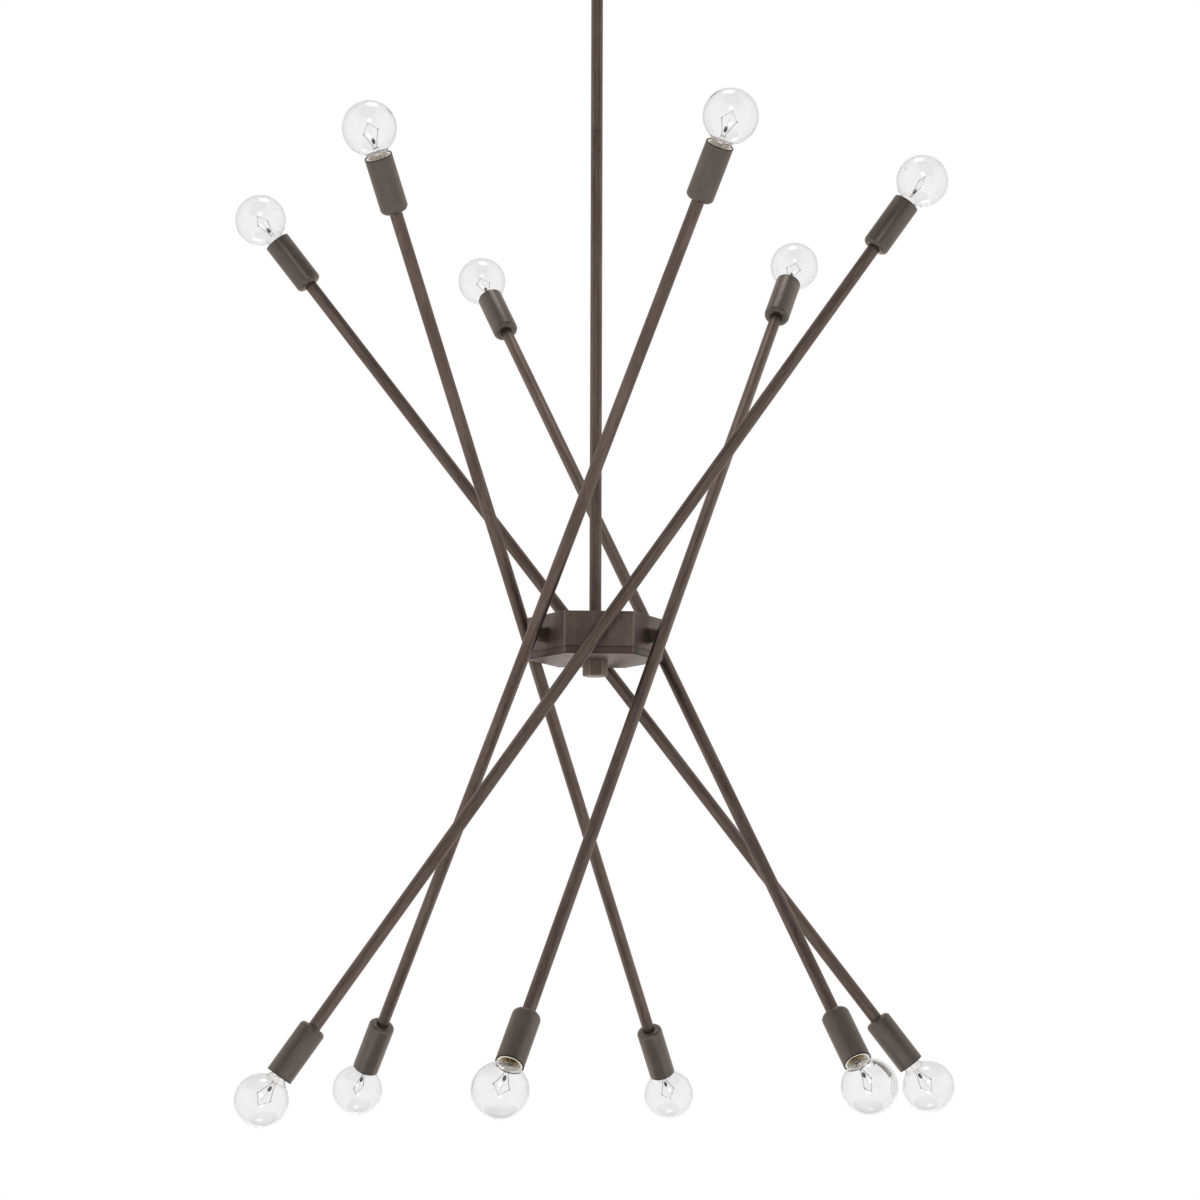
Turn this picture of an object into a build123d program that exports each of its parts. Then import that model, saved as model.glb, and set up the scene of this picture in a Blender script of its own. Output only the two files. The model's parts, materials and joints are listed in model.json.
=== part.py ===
"""Sputnik chandelier: a hexagonal hub on a rod stem, with six double-ended arms that swivel on it.

The origin is the centre of the bracket's bolt pattern, on the ceiling. +Z is up, and the first arm
is on the -Y side. All sizes are in millimetres and degrees.
"""

import os
from math import acos, cos, degrees, radians, sin, sqrt

from build123d import *

os.makedirs("parts", exist_ok=True)

# ---------------------------------------------------------------- room between pieces
RUN_GAP = 0.3  # between faces that turn past each other
SHAFT_ROOM = 0.05  # around a shaft in its bore
SEAT_ROOM = 0.05  # around a thread, a spigot or a pressed seat
WIRE_BORE = 6.0  # way for the wires through the yoke, the nipples and the barrels

# ---------------------------------------------------------------- ceiling set
BRACKET_LENGTH = 112.0
BRACKET_WIDTH = 19.0
BRACKET_THICKNESS = 2.0
BOX_SCREW_SPACING = 88.9
BOX_SLOT_WIDTH = 4.6
BOX_SLOT_LENGTH = 10.0
GROUND_HOLE = 10.5

CANOPY_DIAMETER = 127.0
CANOPY_HEIGHT = 25.4
CANOPY_WALL = 1.5
CANOPY_EDGE_RADIUS = 7.0
CANOPY_SCREW_SPACING = 69.85
CANOPY_SCREW_DIAMETER = 4.1
CANOPY_SCREW_HOLE = 5.0
CANOPY_NUT_DIAMETER = 9.5
CANOPY_NUT_HEIGHT = 8.0
CANOPY_NUT_DOME = 4.0
CANOPY_NUT_GRIP = 5.0

# ---------------------------------------------------------------- hang-straight swivel
YOKE_SHANK_DIAMETER = 10.0
YOKE_FLANGE_DIAMETER = 28.0
YOKE_FLANGE_THICKNESS = 3.0
YOKE_DIAMETER = 25.0
YOKE_WIDTH = 19.0
YOKE_DROP = 18.0  # from the top of the flange to the pins
YOKE_NUT_WIDTH = 17.0
YOKE_NUT_HEIGHT = 5.0
YOKE_SHANK_PROUD = 1.5
YOKE_SPOTFACE = 0.8  # depth of the flat under a pin's head
KNUCKLE_DIAMETER = 15.0
KNUCKLE_WIDTH = 14.0
PIN_DIAMETER = 4.5
PIN_HEAD_DIAMETER = 8.0
PIN_HEAD_HEIGHT = 1.6
PIN_GRIP = 3.0  # how far a pin reaches into the knuckle

# ---------------------------------------------------------------- stem
ROD_DIAMETER = 12.0
UPPER_ROD_LENGTH = 163.0  # from the pins to the joint
LOWER_ROD_LENGTH = 498.2  # from the joint to the hub
ROD_END_CHAMFER = 0.4
NIPPLE_DIAMETER = 9.7
NIPPLE_GRIP = 14.0  # how far a nipple reaches into a rod
WIRE_WINDOW_WIDTH = 4.0
WIRE_WINDOW_HEIGHT = 12.0

# ---------------------------------------------------------------- hub
HUB_WIDTH = 117.4  # across flats
HUB_HEIGHT = 35.0  # without the cover
HUB_WALL = 4.5
HUB_ROOF = 5.0
HUB_CORNER_RADIUS = 1.6
HUB_EDGE_RADIUS = 0.8
HUB_RISE = 20.6  # from the arms' swivel axes to the hub's top
COVER_BAND_HEIGHT = 5.9
COVER_LAND_HEIGHT = 1.3
COVER_LAND_INSET = 0.9
COVER_LIP_HEIGHT = 3.0
COVER_LIP_WALL = 3.0
GROOVE_CHAMFER = 0.5
FINIAL_WIDTH = 21.6
FINIAL_HEIGHT = 15.7
FINIAL_GRIP = 10.0
FINIAL_CHAMFER = 1.0

# ---------------------------------------------------------------- arms
ARM_TILTS = (35.2, 37.0, 37.7, 37.8, 36.3, 37.0)  # from upright, as each arm is set by hand
ARM_COUNT = len(ARM_TILTS)
ARM_OFFSET = 74.2  # from the stem's axis to an arm tube's axis
ARM_LENGTH = 962.0
ARM_DIAMETER = 12.4
ARM_WALL = 1.0
BARREL_DIAMETER = 14.3
BARREL_CUP = 3.2  # how far past the tube's near side the barrel cups it
BARREL_COLLAR_DIAMETER = 16.5
BARREL_COLLAR_THICKNESS = 1.2
BARREL_SPIGOT_DIAMETER = 8.0
SHANK_DIAMETER = 10.0
SHANK_PROUD = 1.5
LOCKNUT_WIDTH = 15.0
LOCKNUT_HEIGHT = 4.0

# ---------------------------------------------------------------- lamp ends
SLEEVE_DIAMETER = 26.8
SLEEVE_LENGTH = 57.0
SLEEVE_WALL = 1.2
SLEEVE_SHOULDER = 4.8
SLEEVE_GRIP = 10.0  # how far the sleeve reaches back over the tube's end
SOCKET_STEM_DIAMETER = 18.0
SOCKET_BASE = 20.6  # from the tube's end to the socket's floor
SOCKET_FLOOR = 3.0
SOCKET_RECESS = 0.6  # the socket's mouth below the sleeve's
SOCKET_MOUTH_DIAMETER = 19.8
SOCKET_SPIGOT_LENGTH = 6.0
SOCKET_WIRE_HOLE = 4.0
SHELL_BORE = 12.4
SHELL_WALL = 0.5
SHELL_LENGTH = 20.4
SHELL_LIP_DIAMETER = 18.0
SHELL_FOOT_DIAMETER = 9.0  # opening in the shell's foot, clear of the centre contact
CONTACT_DIAMETER = 6.4
CONTACT_HEIGHT = 1.2

# ---------------------------------------------------------------- bulbs
CAP_DIAMETER = 11.8
CAP_WALL = 0.55
CAP_LENGTH = 17.0
CAP_TIP_DIAMETER = 4.0
CAP_TIP_HEIGHT = 1.0
CAP_INSULATOR_HEIGHT = 2.5
CAP_FLOOR = 1.0
CAP_INSULATOR_DIAMETER = 10.4
GLOBE_DIAMETER = 52.4
GLASS_WALL = 0.8
NECK_BLEND = 16.0
NECK_SEAT = 8.0  # how far the glass reaches into its cap
FLARE_HEIGHT = 2.0
STEM_TOP_DROP = 20.0  # from the globe's centre down to the top of the glass stem
STEM_DIAMETER = 4.6
PRESS_WIDTH = 5.6
PRESS_THICKNESS = 2.2
PRESS_HEIGHT = 7.0
POST_DIAMETER = 1.2
BEAD_DIAMETER = 3.4
BEAD_HEIGHT = 6.0
BEAD_DROP = 13.5
LEAD_THICKNESS = 0.6
LEAD_ROOT = 1.6
LEAD_GRIP = 1.0  # how far a lead reaches into the glass stem
LEAD_TIP = 7.5
LEAD_TIP_DROP = 4.0
FILAMENT_RISE = 5.5

# How far round each arm's bulbs stop, the upper one and the lower one
BULB_TURNS = ((160, 90), (20, 145), (160, 95), (125, 70), (45, 130), (160, 160))

# ---------------------------------------------------------------- heights, down from the ceiling
canopy_bottom = -CANOPY_HEIGHT
yoke_nut_bottom = canopy_bottom + CANOPY_WALL + RUN_GAP
yoke_shank_top = yoke_nut_bottom + YOKE_NUT_HEIGHT + YOKE_SHANK_PROUD
flange_top = canopy_bottom - RUN_GAP
flange_bottom = flange_top - YOKE_FLANGE_THICKNESS
pin_height = flange_top - YOKE_DROP
rod_joint = pin_height - UPPER_ROD_LENGTH
hub_top = rod_joint - LOWER_ROD_LENGTH
arm_height = hub_top - HUB_RISE
cover_top = hub_top - HUB_HEIGHT
cover_bottom = cover_top - COVER_BAND_HEIGHT - COVER_LAND_HEIGHT
finial_bottom = cover_bottom - FINIAL_HEIGHT

# ---------------------------------------------------------------- radii and lengths that follow
rod_radius = ROD_DIAMETER / 2
rod_bore = NIPPLE_DIAMETER / 2 + SEAT_ROOM
arm_radius = ARM_DIAMETER / 2
arm_bore = arm_radius - ARM_WALL
tube_end = ARM_LENGTH / 2
hub_inner = HUB_WIDTH / 2 - HUB_WALL
face_reach = ARM_OFFSET - HUB_WIDTH / 2  # from an arm tube's axis in to the hub's face

sleeve_start = tube_end - SLEEVE_GRIP
sleeve_mouth = sleeve_start + SLEEVE_LENGTH
sleeve_bore = SLEEVE_DIAMETER / 2 - SLEEVE_WALL
socket_floor = tube_end + SOCKET_BASE
socket_mouth = sleeve_mouth - SOCKET_RECESS
shell_rim = socket_floor + SHELL_LENGTH
shell_radius = SHELL_BORE / 2 + SHELL_WALL
cap_bottom = socket_floor + CONTACT_HEIGHT
cap_top = cap_bottom + CAP_LENGTH
cap_radius = CAP_DIAMETER / 2
globe_radius = GLOBE_DIAMETER / 2
neck_radius = cap_radius - CAP_WALL - SEAT_ROOM
globe_centre = cap_top + sqrt((globe_radius + NECK_BLEND) ** 2 - (neck_radius + NECK_BLEND) ** 2)
blend_turn = degrees(acos((neck_radius + NECK_BLEND) / (globe_radius + NECK_BLEND)))
stem_top = globe_centre - STEM_TOP_DROP


def spoke_plane(number):
    """The plane on the stem's axis whose Z runs out along an arm's swivel axis."""
    around = radians(360 / ARM_COUNT * number)
    return Plane(origin=(0, 0, arm_height), x_dir=(0, 0, 1), z_dir=(sin(around), -cos(around), 0))


def arm_plane(number):
    """An arm's own plane: its origin on the tube's axis, X away from the stem, Z up along the tube."""
    around = radians(360 / ARM_COUNT * number)
    tilt = radians(ARM_TILTS[number])
    outward = Vector(sin(around), -cos(around), 0)
    sideways = Vector(cos(around), sin(around), 0)
    centre = Vector(0, 0, arm_height) + outward * ARM_OFFSET
    return Plane(origin=centre, x_dir=outward, z_dir=sideways * sin(tilt) + Vector(0, 0, cos(tilt)))


def keep(piece, name):
    """Label a finished piece and write it under its node's name."""
    piece.part.label = name
    export_step(piece.part, f"parts/{name}.step")


# ---------------------------------------------------------------- mounting bracket
with BuildPart() as mounting_bracket:
    with BuildSketch():
        SlotOverall(BRACKET_LENGTH, BRACKET_WIDTH)
        with GridLocations(BOX_SCREW_SPACING, 0, 2, 1):
            SlotOverall(BOX_SLOT_LENGTH, BOX_SLOT_WIDTH, mode=Mode.SUBTRACT)
        with GridLocations(CANOPY_SCREW_SPACING, 0, 2, 1):
            Circle(CANOPY_SCREW_DIAMETER / 2 + SEAT_ROOM, mode=Mode.SUBTRACT)
        Circle(GROUND_HOLE / 2, mode=Mode.SUBTRACT)
    extrude(amount=-BRACKET_THICKNESS)
keep(mounting_bracket, "mounting_bracket")

# ---------------------------------------------------------------- canopy screws and their nuts
with BuildPart() as canopy_screws:
    with BuildSketch():
        with GridLocations(CANOPY_SCREW_SPACING, 0, 2, 1):
            Circle(CANOPY_SCREW_DIAMETER / 2)
    extrude(amount=canopy_bottom - CANOPY_NUT_GRIP)
keep(canopy_screws, "canopy_screws")

with BuildPart() as canopy_nut:
    with BuildSketch(Plane.XZ):
        with BuildLine():
            Polyline(
                (0, canopy_bottom),
                (CANOPY_NUT_DIAMETER / 2, canopy_bottom),
                (CANOPY_NUT_DIAMETER / 2, canopy_bottom - CANOPY_NUT_HEIGHT + CANOPY_NUT_DOME),
            )
            TangentArc(
                (0, canopy_bottom - CANOPY_NUT_HEIGHT),
                (CANOPY_NUT_DIAMETER / 2, canopy_bottom - CANOPY_NUT_HEIGHT + CANOPY_NUT_DOME),
                tangent=(1, 0),
            )
            Line((0, canopy_bottom - CANOPY_NUT_HEIGHT), (0, canopy_bottom))
        make_face()
    revolve(axis=Axis.Z)
    with BuildSketch(Plane.XY.offset(canopy_bottom)):
        Circle(CANOPY_SCREW_DIAMETER / 2 + SEAT_ROOM)
    extrude(amount=-CANOPY_NUT_GRIP - SEAT_ROOM, mode=Mode.SUBTRACT)

with BuildPart() as canopy_nuts:
    with GridLocations(CANOPY_SCREW_SPACING, 0, 2, 1):
        add(canopy_nut.part)
keep(canopy_nuts, "canopy_nuts")

# ---------------------------------------------------------------- canopy
with BuildPart() as canopy:
    with BuildSketch():
        Circle(CANOPY_DIAMETER / 2)
    extrude(amount=canopy_bottom)
    fillet(canopy.edges().sort_by(Axis.Z)[0], CANOPY_EDGE_RADIUS)
    offset(amount=-CANOPY_WALL, openings=canopy.faces().sort_by(Axis.Z)[-1])
    with BuildSketch(Plane.XY.offset(canopy_bottom)):
        Circle(YOKE_SHANK_DIAMETER / 2 + SHAFT_ROOM)
        with GridLocations(CANOPY_SCREW_SPACING, 0, 2, 1):
            Circle(CANOPY_SCREW_HOLE / 2)
    extrude(amount=CANOPY_WALL, mode=Mode.SUBTRACT)
keep(canopy, "canopy")

# ---------------------------------------------------------------- swivel yoke and its retaining nut
# The pins lie along X, so the stem swings towards the front and the back.
with BuildPart() as yoke_nut:
    with BuildSketch(Plane.XY.offset(yoke_nut_bottom)):
        RegularPolygon(YOKE_NUT_WIDTH / 2, 6, major_radius=False)
        Circle(YOKE_SHANK_DIAMETER / 2 + SEAT_ROOM, mode=Mode.SUBTRACT)
    extrude(amount=YOKE_NUT_HEIGHT)

with BuildPart() as swivel_yoke:
    with BuildSketch(Plane.YZ):
        with Locations((0, pin_height)):
            Circle(YOKE_WIDTH / 2)
        with Locations((0, (flange_bottom + pin_height) / 2)):
            Rectangle(YOKE_WIDTH, flange_bottom - pin_height)
    extrude(amount=YOKE_DIAMETER / 2, both=True)
    with BuildSketch(Plane.XY.offset(flange_bottom)):
        Circle(YOKE_DIAMETER / 2)
    extrude(amount=-YOKE_DROP - YOKE_WIDTH, mode=Mode.INTERSECT)
    with BuildSketch(Plane.XY.offset(flange_bottom)):
        Circle(YOKE_FLANGE_DIAMETER / 2)
    extrude(amount=YOKE_FLANGE_THICKNESS)
    with BuildSketch(Plane.XY.offset(flange_top)):
        Circle(YOKE_SHANK_DIAMETER / 2)
    extrude(amount=yoke_shank_top - flange_top)
    with BuildSketch(Plane.YZ):
        with Locations((0, pin_height)):
            Circle(KNUCKLE_DIAMETER / 2 + 2 * RUN_GAP)
        with Locations((0, pin_height - YOKE_WIDTH / 2)):
            Rectangle(YOKE_DIAMETER, YOKE_WIDTH)
    extrude(amount=KNUCKLE_WIDTH / 2 + RUN_GAP, both=True, mode=Mode.SUBTRACT)
    with BuildSketch(Plane.YZ):
        with Locations((0, pin_height)):
            Circle(PIN_DIAMETER / 2 + SEAT_ROOM)
    extrude(amount=YOKE_DIAMETER / 2, both=True, mode=Mode.SUBTRACT)
    for side in (1, -1):
        with BuildSketch(Plane.YZ.offset(side * (YOKE_DIAMETER / 2 - YOKE_SPOTFACE))):
            with Locations((0, pin_height)):
                Circle(PIN_HEAD_DIAMETER / 2 + RUN_GAP)
        extrude(amount=side * YOKE_SPOTFACE, mode=Mode.SUBTRACT)
    with BuildSketch(Plane.XY.offset(pin_height)):
        Circle(WIRE_BORE / 2)
    extrude(amount=yoke_shank_top - pin_height, mode=Mode.SUBTRACT)
    add(yoke_nut.part)
keep(swivel_yoke, "swivel_yoke")

# ---------------------------------------------------------------- swivel pins
with BuildPart() as swivel_pins:
    for side in (1, -1):
        with BuildSketch(Plane.YZ.offset(side * (KNUCKLE_WIDTH / 2 - PIN_GRIP))):
            with Locations((0, pin_height)):
                Circle(PIN_DIAMETER / 2)
        extrude(amount=side * (YOKE_DIAMETER / 2 - YOKE_SPOTFACE - KNUCKLE_WIDTH / 2 + PIN_GRIP))
        with BuildSketch(Plane.YZ.offset(side * (YOKE_DIAMETER / 2 - YOKE_SPOTFACE))):
            with Locations((0, pin_height)):
                Circle(PIN_HEAD_DIAMETER / 2)
        extrude(amount=side * PIN_HEAD_HEIGHT)
keep(swivel_pins, "swivel_pins")

# ---------------------------------------------------------------- upper rod, with its knuckle
with BuildPart() as upper_rod:
    with BuildSketch(Plane.XY.offset(rod_joint)):
        Circle(rod_radius)
    extrude(amount=UPPER_ROD_LENGTH)
    chamfer(upper_rod.edges().sort_by(Axis.Z)[0], ROD_END_CHAMFER)
    with BuildSketch(Plane.YZ):
        with Locations((0, pin_height)):
            Circle(KNUCKLE_DIAMETER / 2)
    extrude(amount=KNUCKLE_WIDTH / 2, both=True)
    with BuildSketch(Plane.XY.offset(rod_joint)):
        Circle(rod_bore)
    extrude(amount=UPPER_ROD_LENGTH - KNUCKLE_DIAMETER, mode=Mode.SUBTRACT)
    with BuildSketch(Plane.XY.offset(rod_joint)):
        Circle(WIRE_BORE / 2)
    extrude(amount=UPPER_ROD_LENGTH + KNUCKLE_DIAMETER, mode=Mode.SUBTRACT)
    with BuildSketch(Plane.YZ):
        with Locations((0, pin_height)):
            Circle(PIN_DIAMETER / 2 + SHAFT_ROOM)
    extrude(amount=KNUCKLE_WIDTH / 2, both=True, mode=Mode.SUBTRACT)
keep(upper_rod, "upper_rod")

# ---------------------------------------------------------------- lower rod
with BuildPart() as lower_rod:
    with BuildSketch(Plane.XY.offset(rod_joint)):
        Circle(rod_radius)
    extrude(amount=-LOWER_ROD_LENGTH)
    chamfer(lower_rod.edges().sort_by(Axis.Z)[-1], ROD_END_CHAMFER)
    with BuildSketch(Plane.XY.offset(rod_joint)):
        Circle(rod_bore)
    extrude(amount=-LOWER_ROD_LENGTH, mode=Mode.SUBTRACT)
keep(lower_rod, "lower_rod")

# ---------------------------------------------------------------- threaded nipples
# One joins the rods. The other runs from the lower rod through the hub into the finial.
hub_nipple_top = hub_top + NIPPLE_GRIP
hub_nipple_bottom = cover_bottom - FINIAL_GRIP

with BuildPart() as threaded_nipples:
    with BuildSketch(Plane.XY.offset(rod_joint)):
        Circle(NIPPLE_DIAMETER / 2)
    extrude(amount=NIPPLE_GRIP, both=True)
    with BuildSketch(Plane.XY.offset(hub_nipple_bottom)):
        Circle(NIPPLE_DIAMETER / 2)
    extrude(amount=hub_nipple_top - hub_nipple_bottom)
    with BuildSketch(Plane.XY.offset(hub_nipple_bottom)):
        Circle(WIRE_BORE / 2)
    extrude(amount=rod_joint + NIPPLE_GRIP - hub_nipple_bottom, mode=Mode.SUBTRACT)
    for side in (Plane.XZ, Plane.YZ):
        with BuildSketch(side):
            with Locations((0, arm_height)):
                Rectangle(WIRE_WINDOW_WIDTH, WIRE_WINDOW_HEIGHT)
        extrude(amount=NIPPLE_DIAMETER, both=True, mode=Mode.SUBTRACT)
keep(threaded_nipples, "threaded_nipples")

# ---------------------------------------------------------------- hub body
face_planes = [spoke_plane(number).offset(hub_inner) for number in range(ARM_COUNT)]

with BuildPart() as hub_body:
    with BuildSketch(Plane.XY.offset(cover_top)):
        RegularPolygon(HUB_WIDTH / 2, ARM_COUNT, major_radius=False)
    extrude(amount=HUB_HEIGHT)
    fillet(hub_body.edges().filter_by(Axis.Z), HUB_CORNER_RADIUS)
    fillet(hub_body.faces().sort_by(Axis.Z)[-1].edges(), HUB_EDGE_RADIUS)
    chamfer(hub_body.faces().sort_by(Axis.Z)[0].edges(), GROOVE_CHAMFER)
    with BuildSketch(Plane.XY.offset(cover_top)):
        RegularPolygon(hub_inner, ARM_COUNT, major_radius=False)
    extrude(amount=HUB_HEIGHT - HUB_ROOF, mode=Mode.SUBTRACT)
    with BuildSketch(Plane.XY.offset(hub_top)):
        Circle(NIPPLE_DIAMETER / 2 + SEAT_ROOM)
    extrude(amount=-HUB_ROOF, mode=Mode.SUBTRACT)
    with BuildSketch(*face_planes):
        Circle(SHANK_DIAMETER / 2 + SHAFT_ROOM)
    extrude(amount=HUB_WALL, mode=Mode.SUBTRACT)
keep(hub_body, "hub_body")

# ---------------------------------------------------------------- hub cover
with BuildPart() as hub_cover:
    with BuildSketch(Plane.XY.offset(cover_top)):
        RegularPolygon(HUB_WIDTH / 2, ARM_COUNT, major_radius=False)
    extrude(amount=-COVER_BAND_HEIGHT)
    fillet(hub_cover.edges().filter_by(Axis.Z), HUB_CORNER_RADIUS)
    chamfer(hub_cover.faces().sort_by(Axis.Z)[-1].edges(), GROOVE_CHAMFER)
    with BuildSketch(Plane.XY.offset(cover_top - COVER_BAND_HEIGHT)):
        RegularPolygon(HUB_WIDTH / 2 - COVER_LAND_INSET, ARM_COUNT, major_radius=False)
    extrude(amount=-COVER_LAND_HEIGHT)
    with BuildSketch(Plane.XY.offset(cover_top)):
        RegularPolygon(hub_inner - SEAT_ROOM, ARM_COUNT, major_radius=False)
        RegularPolygon(hub_inner - COVER_LIP_WALL, ARM_COUNT, major_radius=False, mode=Mode.SUBTRACT)
    extrude(amount=COVER_LIP_HEIGHT)
    with BuildSketch(Plane.XY.offset(cover_top)):
        Circle(NIPPLE_DIAMETER / 2 + SEAT_ROOM)
    extrude(amount=cover_bottom - cover_top, mode=Mode.SUBTRACT)
keep(hub_cover, "hub_cover")

# ---------------------------------------------------------------- hub finial
with BuildPart() as hub_finial:
    with BuildSketch(Plane.XY.offset(cover_bottom)):
        RegularPolygon(FINIAL_WIDTH / 2, ARM_COUNT, major_radius=False)
    extrude(amount=-FINIAL_HEIGHT)
    chamfer(hub_finial.faces().sort_by(Axis.Z)[0].edges(), FINIAL_CHAMFER)
    with BuildSketch(Plane.XY.offset(cover_bottom)):
        Circle(NIPPLE_DIAMETER / 2 + SEAT_ROOM)
    extrude(amount=-FINIAL_GRIP - RUN_GAP, mode=Mode.SUBTRACT)
keep(hub_finial, "hub_finial")

# ---------------------------------------------------------------- arm pieces, each made once
# An arm's pieces are drawn on its tube: Z runs along the tube, and X points away from the hub.
inward = Plane(origin=(0, 0, 0), x_dir=(0, 1, 0), z_dir=(-1, 0, 0))
collar_reach = face_reach - RUN_GAP
locknut_reach = face_reach + HUB_WALL + RUN_GAP
shank_reach = locknut_reach + LOCKNUT_HEIGHT + SHANK_PROUD

with BuildPart() as tube:
    with BuildSketch():
        Circle(arm_radius)
        Circle(arm_bore, mode=Mode.SUBTRACT)
    extrude(amount=tube_end, both=True)
    with BuildSketch(inward):
        Circle(BARREL_SPIGOT_DIAMETER / 2 + SEAT_ROOM)
    extrude(amount=arm_radius, mode=Mode.SUBTRACT)

with BuildPart() as locknut:
    with BuildSketch(inward.offset(locknut_reach)):
        RegularPolygon(LOCKNUT_WIDTH / 2, 6, major_radius=False)
        Circle(SHANK_DIAMETER / 2 + SEAT_ROOM, mode=Mode.SUBTRACT)
    extrude(amount=LOCKNUT_HEIGHT)

with BuildPart() as swivel:
    with BuildSketch(inward.offset(arm_radius - BARREL_CUP)):
        Circle(BARREL_DIAMETER / 2)
    extrude(amount=collar_reach - arm_radius + BARREL_CUP)
    with BuildSketch(inward.offset(collar_reach - BARREL_COLLAR_THICKNESS)):
        Circle(BARREL_COLLAR_DIAMETER / 2)
    extrude(amount=BARREL_COLLAR_THICKNESS)
    with BuildSketch():
        Circle(arm_radius + SEAT_ROOM)
    extrude(amount=BARREL_DIAMETER, both=True, mode=Mode.SUBTRACT)
    with BuildSketch(inward.offset(arm_bore)):
        Circle(BARREL_SPIGOT_DIAMETER / 2)
    extrude(amount=collar_reach - arm_bore)
    with BuildSketch(inward.offset(collar_reach)):
        Circle(SHANK_DIAMETER / 2)
    extrude(amount=shank_reach - collar_reach)
    with BuildSketch(inward):
        Circle(WIRE_BORE / 2)
    extrude(amount=shank_reach, mode=Mode.SUBTRACT)
    add(locknut.part)

# ---------------------------------------------------------------- lamp pieces, each made once
with BuildPart() as sleeve:
    with BuildSketch(Plane.XY.offset(sleeve_start)):
        Circle(SLEEVE_DIAMETER / 2)
    extrude(amount=SLEEVE_LENGTH)
    fillet(sleeve.edges().sort_by(Axis.Z)[0], SLEEVE_SHOULDER)
    offset(amount=-SLEEVE_WALL, openings=sleeve.faces().sort_by(Axis.Z)[-1])
    with BuildSketch(Plane.XY.offset(sleeve_start)):
        Circle(arm_radius + SEAT_ROOM)
    extrude(amount=SLEEVE_WALL, mode=Mode.SUBTRACT)

with BuildPart() as socket:
    with BuildSketch(Plane.XZ):
        with BuildLine():
            Polyline(
                (SOCKET_WIRE_HOLE / 2, tube_end - SOCKET_SPIGOT_LENGTH),
                (arm_bore - SEAT_ROOM, tube_end - SOCKET_SPIGOT_LENGTH),
                (arm_bore - SEAT_ROOM, tube_end),
                (SOCKET_STEM_DIAMETER / 2, tube_end),
                (SOCKET_STEM_DIAMETER / 2, socket_floor - SOCKET_FLOOR),
                (sleeve_bore - SEAT_ROOM, socket_floor - SOCKET_FLOOR),
                (sleeve_bore - SEAT_ROOM, socket_mouth),
                (SOCKET_MOUTH_DIAMETER / 2, socket_mouth),
                (SOCKET_MOUTH_DIAMETER / 2, shell_rim - SHELL_WALL),
                (shell_radius + SEAT_ROOM, shell_rim - SHELL_WALL),
                (shell_radius + SEAT_ROOM, socket_floor),
                (SOCKET_WIRE_HOLE / 2, socket_floor),
                close=True,
            )
        make_face()
    revolve(axis=Axis.Z)

with BuildPart() as contact:
    with BuildSketch(Plane.XY.offset(socket_floor)):
        Circle(CONTACT_DIAMETER / 2)
    extrude(amount=CONTACT_HEIGHT)

with BuildPart() as screw_shell:
    with BuildSketch(Plane.XZ):
        with BuildLine():
            Polyline(
                (SHELL_FOOT_DIAMETER / 2, socket_floor),
                (shell_radius, socket_floor),
                (shell_radius, shell_rim - SHELL_WALL),
                (SHELL_LIP_DIAMETER / 2, shell_rim - SHELL_WALL),
                (SHELL_LIP_DIAMETER / 2, shell_rim),
                (SHELL_BORE / 2, shell_rim),
                (SHELL_BORE / 2, socket_floor + SHELL_WALL),
                (SHELL_FOOT_DIAMETER / 2, socket_floor + SHELL_WALL),
                close=True,
            )
        make_face()
    revolve(axis=Axis.Z)
    add(contact.part)

with BuildPart() as bulb_base:
    with BuildSketch(Plane.XZ):
        with BuildLine():
            Polyline(
                (0, cap_bottom),
                (CAP_TIP_DIAMETER / 2, cap_bottom),
                (CAP_TIP_DIAMETER / 2, cap_bottom + CAP_TIP_HEIGHT),
                (CAP_INSULATOR_DIAMETER / 2, cap_bottom + CAP_TIP_HEIGHT + CAP_INSULATOR_HEIGHT),
                (cap_radius, cap_bottom + CAP_TIP_HEIGHT + CAP_INSULATOR_HEIGHT),
                (cap_radius, cap_top),
                (cap_radius - CAP_WALL, cap_top),
                (cap_radius - CAP_WALL, cap_bottom + CAP_TIP_HEIGHT + CAP_INSULATOR_HEIGHT + CAP_FLOOR),
                (0, cap_bottom + CAP_TIP_HEIGHT + CAP_INSULATOR_HEIGHT + CAP_FLOOR),
                close=True,
            )
        make_face()
    revolve(axis=Axis.Z)

# The globe runs into the neck through an arc that is tangent to both.
with BuildPart() as bulb_glass:
    with BuildSketch(Plane.XZ):
        with BuildLine():
            Line((neck_radius, cap_top - NECK_SEAT), (neck_radius, cap_top))
            CenterArc((neck_radius + NECK_BLEND, cap_top), NECK_BLEND, 180, -blend_turn)
            CenterArc((0, globe_centre), globe_radius, -blend_turn, 90 + blend_turn)
            Line((0, globe_centre + globe_radius), (0, globe_centre + globe_radius - GLASS_WALL))
            CenterArc((0, globe_centre), globe_radius - GLASS_WALL, -blend_turn, 90 + blend_turn)
            CenterArc((neck_radius + NECK_BLEND, cap_top), NECK_BLEND + GLASS_WALL, 180, -blend_turn)
            Line((neck_radius - GLASS_WALL, cap_top), (neck_radius - GLASS_WALL, cap_top - NECK_SEAT))
            Line((neck_radius - GLASS_WALL, cap_top - NECK_SEAT), (neck_radius, cap_top - NECK_SEAT))
        make_face()
    revolve(axis=Axis.Z)

# The glass stem, its bead on a post, and the leads that hold the filament by its ends and its middle.
flare_bottom = cap_top - NECK_SEAT
filament_ends = globe_centre - LEAD_TIP_DROP
filament_top = globe_centre + FILAMENT_RISE
bead_bottom = globe_centre - BEAD_DROP - BEAD_HEIGHT / 2

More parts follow.
